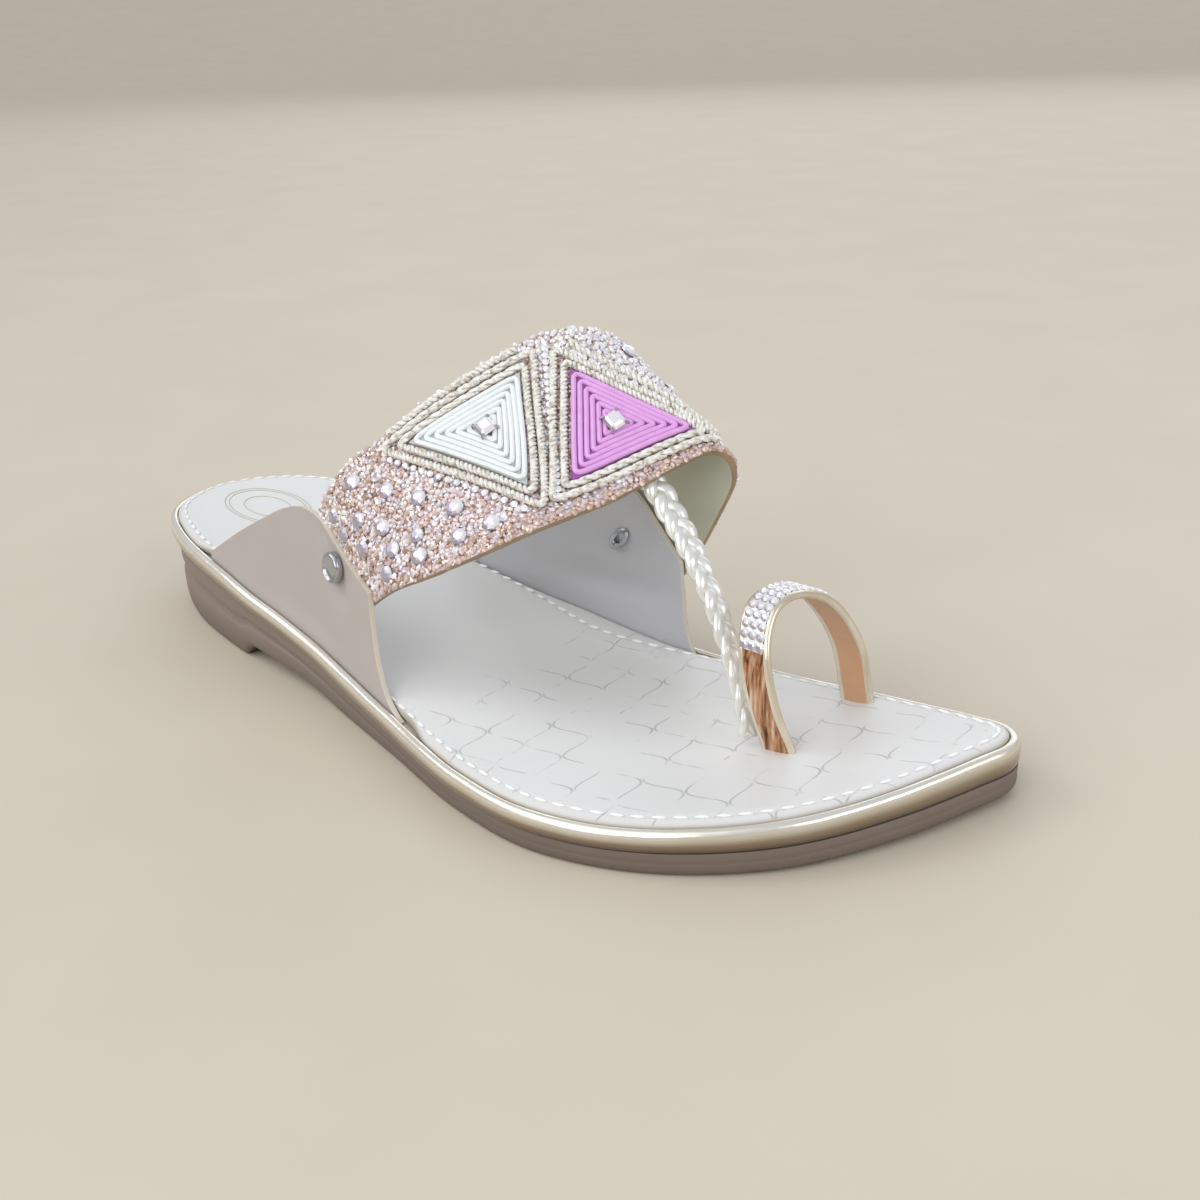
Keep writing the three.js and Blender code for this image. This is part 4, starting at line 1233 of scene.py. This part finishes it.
# Triangles of cord on the band, by their corners' places on it.
triangleSizes = {
    "turns": 6,
    "turnStart": 0.93,
    "turnPitch": 0.143,
    "cordRadius": 0.64,
    "cordLift": 1.25,
    "padHeight": 0.9,
    "padSteps": 24,
    "padLift": 0.05,
    "cornerRound": 0.07,
    "cornerSteps": 6,
    "sideSteps": 40,
    "waySteps": 120,
    "ropeRound": 0.06,
    "ropeSteps": 420,
    "ropeScales": (1.155, 1.4),
    "ropeRadius": 0.5,
    "ropeTwist": 2.9,
    "ropeLift": 0.95,
    "rowFrom": 0.14,
    "rowShare": 0.72,
}
# Further ropes and rows of stones beside a triangle's side, at a scale of the triangle.
extraRopes = table("colour start end scale", ("white", 0, 1, 1.64), ("pink", 0, 2, 1.78))
stoneRows = table("colour start end scale count", ("pink", 0, 2, 1.58, 15), ("white", 0, 2, 1.62, 16))
triangleCorners = {
    "white": [Vector((0.275, 0.165)), Vector((0.456, 0.165)), Vector((0.35, 0.76))],
    "pink": [Vector((0.521, 0.27)), Vector((0.403, 0.83)), Vector((0.625, 0.85))],
}


# Closed way round a triangle with rounded corners, evenly spaced by its shares of the band.
def triangleWay(corners, lift, rounding, count):
    cornerSteps = triangleSizes["cornerSteps"]
    flat = []
    for index in range(3):
        before, corner, after = (corners[(index + k) % 3] for k in (-1, 0, 1))
        start = corner.lerp(before, rounding)
        end = corner.lerp(after, rounding)
        for step in range(cornerSteps + 1):
            t = step / cornerSteps
            flat.append(start.lerp(corner, t).lerp(corner.lerp(end, t), t))
    dense = []
    for index, place in enumerate(flat):
        after = flat[(index + 1) % len(flat)]
        steps = triangleSizes["sideSteps"] if index % (cornerSteps + 1) == cornerSteps else 2
        dense += [place.lerp(after, step / steps) for step in range(steps)]
    flatEven = evenly(dense, count, closed=True)
    return [onBand(*place, lift) for place in flatEven], [bandNormal(*place) for place in flatEven]


def scaledCorners(corners, scale):
    middle = sum(corners, Vector((0, 0))) / 3
    return [middle + (corner - middle) * scale for corner in corners]


def besideTriangle(row, count):
    corners = scaledCorners(triangleCorners[row["colour"]], row["scale"])
    start, end = corners[row["start"]], corners[row["end"]]
    first, reach = triangleSizes["rowFrom"], triangleSizes["rowShare"]
    return [start.lerp(end, first + reach * step / (count - 1)) for step in range(count)]


def makeCordTriangle(colour):
    sizes = triangleSizes
    corners = triangleCorners[colour]
    paths = []
    for turn in range(sizes["turns"]):
        turned = scaledCorners(corners, sizes["turnStart"] - turn * sizes["turnPitch"])
        way = triangleWay(turned, sizes["cordLift"], sizes["cornerRound"], sizes["waySteps"])
        paths.append(way[0])
    node = f"cord_triangle_{colour}"
    cords = cordMesh(paths, sizes["cordRadius"], closed=True)
    addPiece(f"{colour}CordTurns", cords, [f"{colour}Cord"], [node])
    # Pad under the turns, darker than its cord: painted shade in the gaps between the turns.
    bm = bmesh.new()
    steps = sizes["padSteps"]

    def place(u, v):
        weights = (1 - u, u * (1 - v), u * v)
        spot = sum((corner * weight for corner, weight in zip(corners, weights)), Vector((0, 0)))
        return onBand(*spot, sizes["padLift"])

    gridSheet(bm, steps, steps, place)
    bmesh.ops.remove_doubles(bm, verts=bm.verts, dist=0.01)
    centre = sum(corners, Vector((0, 0))) / 3
    normal = bandNormal(*centre)
    made = bmesh.ops.extrude_face_region(bm, geom=bm.faces[:])["geom"]
    top = [item for item in made if isinstance(item, bmesh.types.BMVert)]
    bmesh.ops.translate(bm, verts=top, vec=normal * sizes["padHeight"])
    bmesh.ops.recalc_face_normals(bm, faces=bm.faces)
    return addPiece(f"{colour}CordPad", bm, [f"{colour}Pad"])


def twistedRope(length, radius, pitch):
    steps = int(length / 0.42)
    paths = []
    for strand in range(2):
        path = []
        for step in range(steps + 1):
            x = length * step / steps
            turn = math.tau * x / pitch + math.pi * strand
            path.append(Vector((x, math.cos(turn) * radius * 0.95, math.sin(turn) * radius * 0.95)))
        paths.append(path)
    return cordMesh(paths, radius)


def makeRopeFrame(colour, node):
    sizes = triangleSizes
    ropes = bmesh.new()
    for scale in sizes["ropeScales"]:
        corners = scaledCorners(triangleCorners[colour], scale)
        path, outwards = triangleWay(corners, sizes["ropeLift"], sizes["ropeRound"], sizes["ropeSteps"])
        length = rowLength(path, closed=True)
        turns = round(length / sizes["ropeTwist"])
        rope = twistedRope(length, sizes["ropeRadius"], length / turns)
        ropes.from_mesh(wrapMesh(rope, path, outwards, length, closed=True))
    for row in extraRopes:
        if row["colour"] == colour:
            spots = besideTriangle(row, sizes["waySteps"])
            path = [onBand(*spot, sizes["ropeLift"]) for spot in spots]
            length = rowLength(path)
            rope = twistedRope(length, sizes["ropeRadius"], sizes["ropeTwist"])
            ropes.from_mesh(wrapMesh(rope, path, [bandNormal(*spot) for spot in spots], length))
    return addPiece(f"{colour}RopeFrame", ropes, ["rope"], [node])


# Cut stones: a low faceted dome on a short girdle.
def stoneTemplate(segments):
    bm = bmesh.new()
    girdle = 0.3
    bmesh.ops.create_cone(bm, cap_ends=True, segments=segments, radius1=1, radius2=0.94, depth=girdle)
    bmesh.ops.translate(bm, verts=bm.verts, vec=(0, 0, girdle / 2))
    top = max(bm.faces, key=lambda face: face.calc_center_median().z)
    for inset, lift in ((0.26, 0.22), (0.26, 0.12)):
        bmesh.ops.inset_region(bm, faces=[top], thickness=inset, use_even_offset=True)
        bmesh.ops.translate(bm, verts=top.verts[:], vec=(0, 0, lift))
    bm.verts.index_update()
    return bm


largeStones = table(
    "round down radius",
    (0.169, 0.14, 2.1), (0.203, 0.34, 2.1), (0.234, 0.5, 2.0), (0.263, 0.675, 2.2),
    (0.284, 0.865, 2.1),
    (0.088, 0.19, 2.0), (0.138, 0.39, 2.0), (0.163, 0.55, 2.1), (0.194, 0.715, 1.9), (0.241, 0.85, 2.0),
    (0.081, 0.365, 2.0), (0.109, 0.59, 2.1), (0.156, 0.725, 2.0), (0.178, 0.85, 2.1), (0.125, 0.865, 2.0),
    (0.7, 0.4, 2.0), (0.74, 0.65, 2.1), (0.79, 0.45, 2.0), (0.82, 0.72, 2.0), (0.66, 0.15, 2.0),
)


# The row between the two triangles runs from place to place on the band.
bandStoneSizes = {
    "seed": 7,
    "largeLift": 0.35,
    "smallRadius": 1.0,
    "smallLift": 0.4,
    "between": ((0.51, 0.1), (0.371, 0.88)),
    "betweenSteps": 21,
}


def stoneMatrix(round, down, radius, lift, turn):
    normal = bandNormal(round, down)
    run = bandPoint(min(round + 0.01, 1), down) - bandPoint(round, down)
    run.rotate(Matrix.Rotation(turn, 3, normal))
    return frameOf(onBand(round, down, lift), run, normal, (radius, radius, radius * 0.8))


# The outer wing as the frame has it, for telling where it covers the band.
wingSurface = BVHTree.FromObject(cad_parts["wing_lateral"], bpy.context.evaluated_depsgraph_get())


def underWing(place, normal, reach=4.0):
    start = (place + shoe["toOrigin"]) / 1000
    return wingSurface.ray_cast(start, normal, reach / 1000)[0] is not None


def makeBandStones():
    sizes = bandStoneSizes
    draw = random.Random(sizes["seed"])
    large = []
    for row in largeStones:
        if not underWing(bandPoint(row["round"], row["down"]), bandNormal(row["round"], row["down"])):
            turn = draw.uniform(0, 1)
            matrix = stoneMatrix(row["round"], row["down"], row["radius"], sizes["largeLift"], turn)
            large.append((matrix, 0.5))
    addPiece("pearlStones", joinedCopies(stoneTemplate(10), large), ["pearlStone"], sharp=5)
    small = []
    start, end = (Vector(place) for place in sizes["between"])
    steps = sizes["betweenSteps"]
    between = [start.lerp(end, step / steps) for step in range(steps + 1)]
    for spot in sum((besideTriangle(row, row["count"]) for row in stoneRows), between):
        matrix = stoneMatrix(*spot, sizes["smallRadius"], sizes["smallLift"], draw.uniform(0, 1))
        small.append((matrix, 0.5))
    return addPiece("rowStones", joinedCopies(stoneTemplate(8), small), ["stone"], sharp=5)


# Crumbs of crushed glass over the band's ground, in a loose grid.
crumbSizes = {
    "spacing": 1.3,
    "jitter": 0.45,
    "least": 0.5,
    "most": 0.86,
    "lift": 0.12,
    "seed": 11,
    "frameScale": 1.5,
    "stripFrom": 0.9,
    "stripEnd": 0.72,
    "paleFrom": 0.2,
    "paleLength": 0.22,
}


def insideTriangle(spot, corners):
    a, b, c = corners
    area = (b - a).cross(c - a)
    return min((p - spot).cross(q - spot) / area for p, q in ((b, c), (c, a), (a, b))) > 0


# Crumbs keep off the cord triangles with their ropes, and off the large stones.
def besideOrnaments(spot, place):
    for corners in triangleCorners.values():
        if insideTriangle(spot, scaledCorners(corners, crumbSizes["frameScale"])):
            return False
    return all(
        (bandPoint(stone["round"], stone["down"]) - place).length >= stone["radius"] for stone in largeStones
    )


def makeCrumbs():
    sizes = crumbSizes
    jitter = sizes["jitter"]
    draw = random.Random(sizes["seed"])
    template = bmesh.new()
    bmesh.ops.create_icosphere(template, subdivisions=1, radius=1)
    template.verts.index_update()
    width = rowLength([bandPoint(0.5, step / 20) for step in range(21)])
    length = rowLength([bandPoint(step / 60, 0.5) for step in range(61)])
    rows = int(width / sizes["spacing"])
    columns = int(length / sizes["spacing"])
    places = []
    for column in range(columns):
        for row in range(rows):
            round = (column + 0.5 + draw.uniform(-jitter, jitter)) / columns
            down = (row + 0.5 + draw.uniform(-jitter, jitter)) / rows
            size = draw.uniform(sizes["least"], sizes["most"])
            tilt = Vector([draw.uniform(-1, 1) for axis in range(3)])
            tone = draw.random()
            normal = bandNormal(round, down)
            place = onBand(round, down, sizes["lift"])
            if not besideOrnaments(Vector((round, down)), place) or underWing(place, normal):
                continue
            strip = max(0, (down - sizes["stripFrom"]) / 0.1) if round < sizes["stripEnd"] else 0
            paleness = min(max((round - sizes["paleFrom"]) / sizes["paleLength"], 0), 1) * (1 - strip)
            tone = tone * (1 - strip * 0.65) + (1 - tone) * 0.6 * paleness
            scale = (size * draw.uniform(0.8, 1.3), size, size * draw.uniform(0.5, 0.9))
            places.append((frameOf(place, tilt, (normal + tilt * 0.35), scale), tone))
    mesh = joinedCopies(template, places)
    return addPiece("crushedGlassGround", mesh, ["crushedGlass"], sharp=5)


# Square crystals in four claws.
crystalSizes = {"width": 4.6, "lift": 1.5, "girdle": 0.8, "cornerCut": 0.7, "clawRadius": 0.26}
clawRows = table("out up", (1.3, -0.4), (1.42, 0.7), (1.12, 1.35))


def makeCrystal(colour, node):
    middle = sum(triangleCorners[colour], Vector((0, 0))) / 3
    normal = bandNormal(*middle)
    run = bandPoint(middle.x, middle.y + 0.02) - bandPoint(middle.x, middle.y)
    bm = bmesh.new()
    half = crystalSizes["width"] / 2
    girdle = crystalSizes["girdle"]
    bmesh.ops.create_cone(
        bm, cap_ends=True, segments=4, radius1=half * 1.1, radius2=half * 1.36, depth=girdle
    )
    bmesh.ops.rotate(bm, verts=bm.verts, matrix=Matrix.Rotation(math.pi / 4, 3, "Z"))
    bmesh.ops.translate(bm, verts=bm.verts, vec=(0, 0, girdle / 2))
    upright = [e for e in bm.edges if abs(e.verts[0].co.z - e.verts[1].co.z) > 0.1]
    bmesh.ops.bevel(
        bm, geom=upright, offset=crystalSizes["cornerCut"], offset_type="OFFSET", affect="EDGES",
        segments=1, profile=0.5, material=-1,
    )
    top = max(bm.faces, key=lambda face: face.calc_center_median().z)
    for inset, lift in ((0.5, 0.5), (0.6, 0.35)):
        bmesh.ops.inset_region(bm, faces=[top], thickness=inset, use_even_offset=True)
        bmesh.ops.translate(bm, verts=top.verts[:], vec=(0, 0, lift))
    place = frameOf(onBand(*middle, crystalSizes["lift"]), run, normal)
    bmesh.ops.transform(bm, matrix=place, verts=bm.verts)
    crystal = addPiece(f"{colour}Crystal", bm, ["stone"], [node], sharp=5)
    claws = []
    for turn in range(4):
        corner = Matrix.Rotation(turn * math.pi / 2 + math.pi / 4, 3, "Z")
        path = [corner @ Vector((half * row["out"], 0, row["up"])) for row in clawRows]
        claws.append([place @ p for p in throughPoints(path, 5)])
    mesh = cordMesh(claws, crystalSizes["clawRadius"])
    addPiece(f"{colour}CrystalClaws", mesh, ["nickel"])
    return crystal


# Rivets: a nearly flat cap with a rolled rim outside, a tubular back inside the shoe.
def spunRivet(rows, steps):
    bm = bmesh.new()
    verts = [bm.verts.new((radius, 0, height)) for radius, height in rows]
    edges = [bm.edges.new(pair) for pair in zip(verts, verts[1:])]
    bmesh.ops.spin(
        bm, geom=verts + edges, axis=(0, 0, 1), cent=(0, 0, 0), angle=math.tau, steps=steps, use_merge=True
    )
    bmesh.ops.remove_doubles(bm, verts=bm.verts, dist=0.001)
    bmesh.ops.recalc_face_normals(bm, faces=bm.faces)
    return bm


def makeRivet(side):
    seat, axis = rivetSeat(side)
    half = shoe["wingWall"] / 2
    stack = half + shoe["gap"] + shoe["bandWall"]
    headSeat = half if side == "lateral" else stack
    backSeat = stack if side == "lateral" else half
    radius = rivetSizes["headRadius"]
    height = rivetSizes["headHeight"]
    back = rivetSizes["backRadius"]
    bore = rivetSizes["bore"]
    shank = rivetSizes["shankRadius"]
    bottom = rivetSizes["boreDepth"] - backSeat
    rows = [
        (0, headSeat + height * 0.42), (radius * 0.4, headSeat + height * 0.45),
        (radius * 0.68, headSeat + height * 0.56), (radius * 0.78, headSeat + height * 0.68),
        (radius * 0.84, headSeat + height * 0.84), (radius * 0.9, headSeat + height * 0.9),
        (radius * 0.96, headSeat + height * 0.8), (radius, headSeat + height * 0.45),
        (radius * 0.98, headSeat), (shank, headSeat),
        (shank, -backSeat), (back, -backSeat - 0.1), (back * 1.03, -backSeat - 0.4),
        (back * 0.86, -backSeat - 0.8), (back * 0.6, -backSeat - 0.9), (bore * 1.1, -backSeat - 0.6),
        (bore, -backSeat - 0.2), (bore, bottom), (0, bottom),
    ]
    bm = spunRivet(rows, rivetSizes["steps"])
    if side == "medial":
        tilt = Matrix.Rotation(math.radians(-eyelet["tilt"]), 4, "Z")
        pressed = tilt @ Matrix.Diagonal((eyelet["long"], eyelet["short"], 1, 1)) @ tilt.inverted()
        backs = [vertex for vertex in bm.verts if vertex.co.z < -half]
        bmesh.ops.transform(bm, matrix=Matrix.Translation((eyelet["shift"], 0, 0)) @ pressed, verts=backs)
    bmesh.ops.transform(bm, matrix=frameOf(seat, Vector((1, 0, 0)), axis), verts=bm.verts)
    name = "outerRivet" if side == "lateral" else "innerRivet"
    return addPiece(name, bm, ["nickel"], [f"rivet_{side}"])


# Plaited strap: three flat strands, narrower at its foot.
braidSizes = {
    "strandWidth": 3.4,
    "strandFlatness": 0.6,
    "swing": 2.35,
    "over": 1.6,
    "period": 16.0,
    "footShare": 0.62,
    "pathSteps": 240,
    "strandSteps": 330,
}
braidRoute = table(
    "along across up",
    (0.656, 0.206, 0.637), (0.681, 0.191, 0.589), (0.695, 0.176, 0.556), (0.709, 0.16, 0.529),
    (0.726, 0.14, 0.491), (0.742, 0.121, 0.45), (0.768, 0.094, 0.363), (0.789, 0.069, 0.271),
    (0.808, 0.045, 0.178), (0.819, 0.03, 0.099), (0.826, 0.022, 0.025),
)


def makeBraid():
    sizes = braidSizes
    points = []
    for row in braidRoute:
        height = shoe["ballLift"] + row["up"] * shoe["bandRise"]
        points.append(Vector((alongToX(row["along"]), row["across"] * shoe["ballWidth"], height)))
    path = evenly(throughPoints(points, 30), sizes["pathSteps"])
    length = rowLength(path)
    outwards = []
    for index in range(len(path)):
        run = (path[min(index + 1, len(path) - 1)] - path[max(index - 1, 0)]).normalized()
        across = (Vector((0, 1, 0)) - run * run.y).normalized()
        outwards.append(across.cross(run).normalized())
    if outwards[len(path) // 2].z < 0:
        outwards = [-out for out in outwards]
    strands = []
    steps = sizes["strandSteps"]
    for strand in range(3):
        row = []
        for step in range(steps + 1):
            x = length * step / steps
            turn = math.tau * (x / sizes["period"] + strand / 3)
            row.append(Vector((x, math.sin(turn) * sizes["swing"], math.sin(turn * 2) * sizes["over"])))
        strands.append(row)
    mesh = cordMesh(strands, sizes["strandWidth"] / 2, sides=12)
    mesh.transform(Matrix.Diagonal((1, 1, sizes["strandFlatness"], 1)))
    wrapMesh(mesh, path, outwards, length, narrow=sizes["footShare"])
    return addPiece("plaitedStrap", mesh, ["silver"], ["toe_braid"])


# Toe loop: foil leather strap with rolled edges and rows of stones over its top.
def makeToeLoop():
    sizes = loopSizes

    def sheet(bm, cells, start, end, reach, out=0.0):
        def place(u, v):
            return loopPoint(start + (end - start) * u, (2 * v - 1) * reach, out)[0]
        gridSheet(bm, *cells, place)

    bm = bmesh.new()
    sheet(bm, (sizes["cellsAlong"], sizes["cellsAcross"]), 0, 1, sizes["strapReach"])
    highest = max(bm.faces, key=lambda face: face.calc_center_median().z)
    if highest.normal.z < 0:
        bmesh.ops.reverse_faces(bm, faces=bm.faces)
    keys = ["loopOuter", "loopInner", "loopEdge"]
    strap = addPiece("toeLoopStrap", bm, keys, ["toe_loop"])
    thicken(strap, sizes["wall"], 0.0, 0.3)
    edges = []
    steps = sizes["edgeSteps"]
    for across in (-sizes["edgeAcross"], sizes["edgeAcross"]):
        edges.append([loopPoint(step / steps, across)[0] for step in range(steps + 1)])
    rolled = cordMesh(edges, sizes["edgeRadius"], sides=12)
    addPiece("toeLoopEdges", rolled, ["loopEdge"])
    outSign = 1 if loopPoint(0.5, 0)[1].z > 0 else -1
    outer = sizes["wall"] / 2 * outSign
    start, end = sizes["stoneStart"], sizes["stoneEnd"]
    bed = bmesh.new()
    sheet(bed, sizes["bedCells"], start, end, sizes["bedReach"], outer + sizes["bedLift"] * outSign)
    addPiece("toeLoopStoneBed", bed, ["silver"])
    shares = [start + (end - start) * step / 200 for step in range(201)]
    line = [loopPoint(share, 0, outer)[0] for share in shares]
    walked = np.cumsum([0] + [(b - a).length for a, b in zip(line, line[1:])])
    radius = sizes["stoneRadius"]
    places = []
    for away in np.arange(radius, walked[-1], radius * 2):
        share = float(np.interp(away, walked, shares))
        for row in range(sizes["stoneRows"]):
            across = (row / (sizes["stoneRows"] - 1) * 2 - 1) * sizes["stoneReach"]
            place, face, reach = loopPoint(share, across, outer)
            places.append((frameOf(place, reach, face * outSign, (radius, radius, radius)), 0.5))
    return addPiece("toeLoopStones", joinedCopies(stoneTemplate(8), places), ["stone"], sharp=5)


makeOutsole()
makeRim()
insoleSurface = makeInsole()
makeStitches()
makeStamp(insoleSurface)
for side in ("lateral", "medial"):
    makeWing(side)
    makeRivet(side)
makeBand()
for colour, place in (("white", "lateral"), ("pink", "medial")):
    makeCordTriangle(colour)
    makeRopeFrame(colour, f"rope_frame_{place}")
    makeCrystal(colour, f"crystal_{place}")
makeBandStones()
makeCrumbs()
makeBraid()
makeToeLoop()
print("pieces made")


# Floor, light and camera.
def makeStage():
    bm = bmesh.new()
    bmesh.ops.create_grid(bm, x_segments=120, y_segments=120, size=view["floorSize"])
    for vertex in bm.verts:
        away = math.hypot(vertex.co.x, vertex.co.y)
        vertex.co.z = view["floorSweep"] * max(0, away - view["floorFlat"]) ** 2
    mesh = bpy.data.meshes.new("floor")
    bm.to_mesh(mesh)
    bm.free()
    mesh.polygons.foreach_set("use_smooth", [True] * len(mesh.polygons))
    material, tree, shader = startMaterial("plain pale floor", "#D2C8B5", Roughness=0.6)
    cloud = noiseOf(tree, 60, 3)
    feed(shader, "Base Color", mixColours(tree, cloud, "#CEC3B0", "#D6CCBA"))
    mesh.materials.append(material)
    floor = bpy.data.objects.new("floor", mesh)
    bpy.context.scene.collection.objects.link(floor)
    world = bpy.data.worlds.new("studio")
    bpy.context.scene.world = world
    world.use_nodes = True
    sky = world.node_tree.nodes["Background"]
    sky.inputs[0].default_value = toLinear("#EEF3FA")
    sky.inputs[1].default_value = view["skyStrength"]


# Every light points at the middle of the shoe.
def addLight(name, kind, place, power, colour, **settings):
    light = bpy.data.lights.new(name, kind)
    light.energy = power
    light.color = toLinear(colour)[:3]
    for key, value in settings.items():
        setattr(light, key, value)
    lamp = bpy.data.objects.new(name, light)
    lamp.location = place
    lamp.rotation_euler = (-Vector(place)).to_track_quat("-Z", "Y").to_euler()
    bpy.context.scene.collection.objects.link(lamp)


def makeCamera():
    azimuth = math.radians(view["azimuth"])
    elevation = math.radians(view["elevation"])
    roll = math.radians(view["roll"])
    level = Vector((math.sin(azimuth), -math.cos(azimuth), 0))
    back = level * math.cos(elevation) + Vector((0, 0, math.sin(elevation)))
    right = Vector((math.cos(azimuth), math.sin(azimuth), 0))
    up = back.cross(right)
    sideways = right * math.cos(roll) + up * math.sin(roll)
    upright = back.cross(sideways)
    turned = Matrix((sideways, upright, back)).transposed().to_4x4()
    data = bpy.data.cameras.new("camera")
    data.lens = view["lens"]
    data.sensor_width = 36
    data.clip_start = 0.01
    camera = bpy.data.objects.new("camera", data)
    camera.matrix_world = Matrix.Translation(Vector(view["target"]) + back * view["distance"]) @ turned
    bpy.context.scene.collection.objects.link(camera)
    bpy.context.scene.camera = camera


makeStage()
sunSoftness = math.radians(75)
addLight("daylight", "SUN", (-0.25, -0.62, 0.75), view["daylightPower"], "#FFFEFC", angle=sunSoftness)
# Softboxes: over the outer side, past the toe, far off behind the inner side, and beside the camera.
softboxes = table(
    "name x y z power wide high",
    ("boxOuterSide", -0.72, -0.5, 0.85, 2.0, 0.5, 0.5),
    ("boxToe", 1.0, 0.12, 0.58, 3.0, 1.0, 0.6),
    ("boxBehind", -0.9, 1.71, 0.99, 7.6, 2.5, 0.9),
    ("boxCamera", 0.25, -1.05, 0.62, 2.6, 0.9, 0.45),
)
for box in softboxes:
    addLight(
        box["name"], "AREA", (box["x"], box["y"], box["z"]), box["power"], "#FAFBFF",
        shape="RECTANGLE", size=box["wide"], size_y=box["high"],
    )
makeCamera()
bpy.context.scene.view_settings.view_transform = "Standard"
print("stage made")
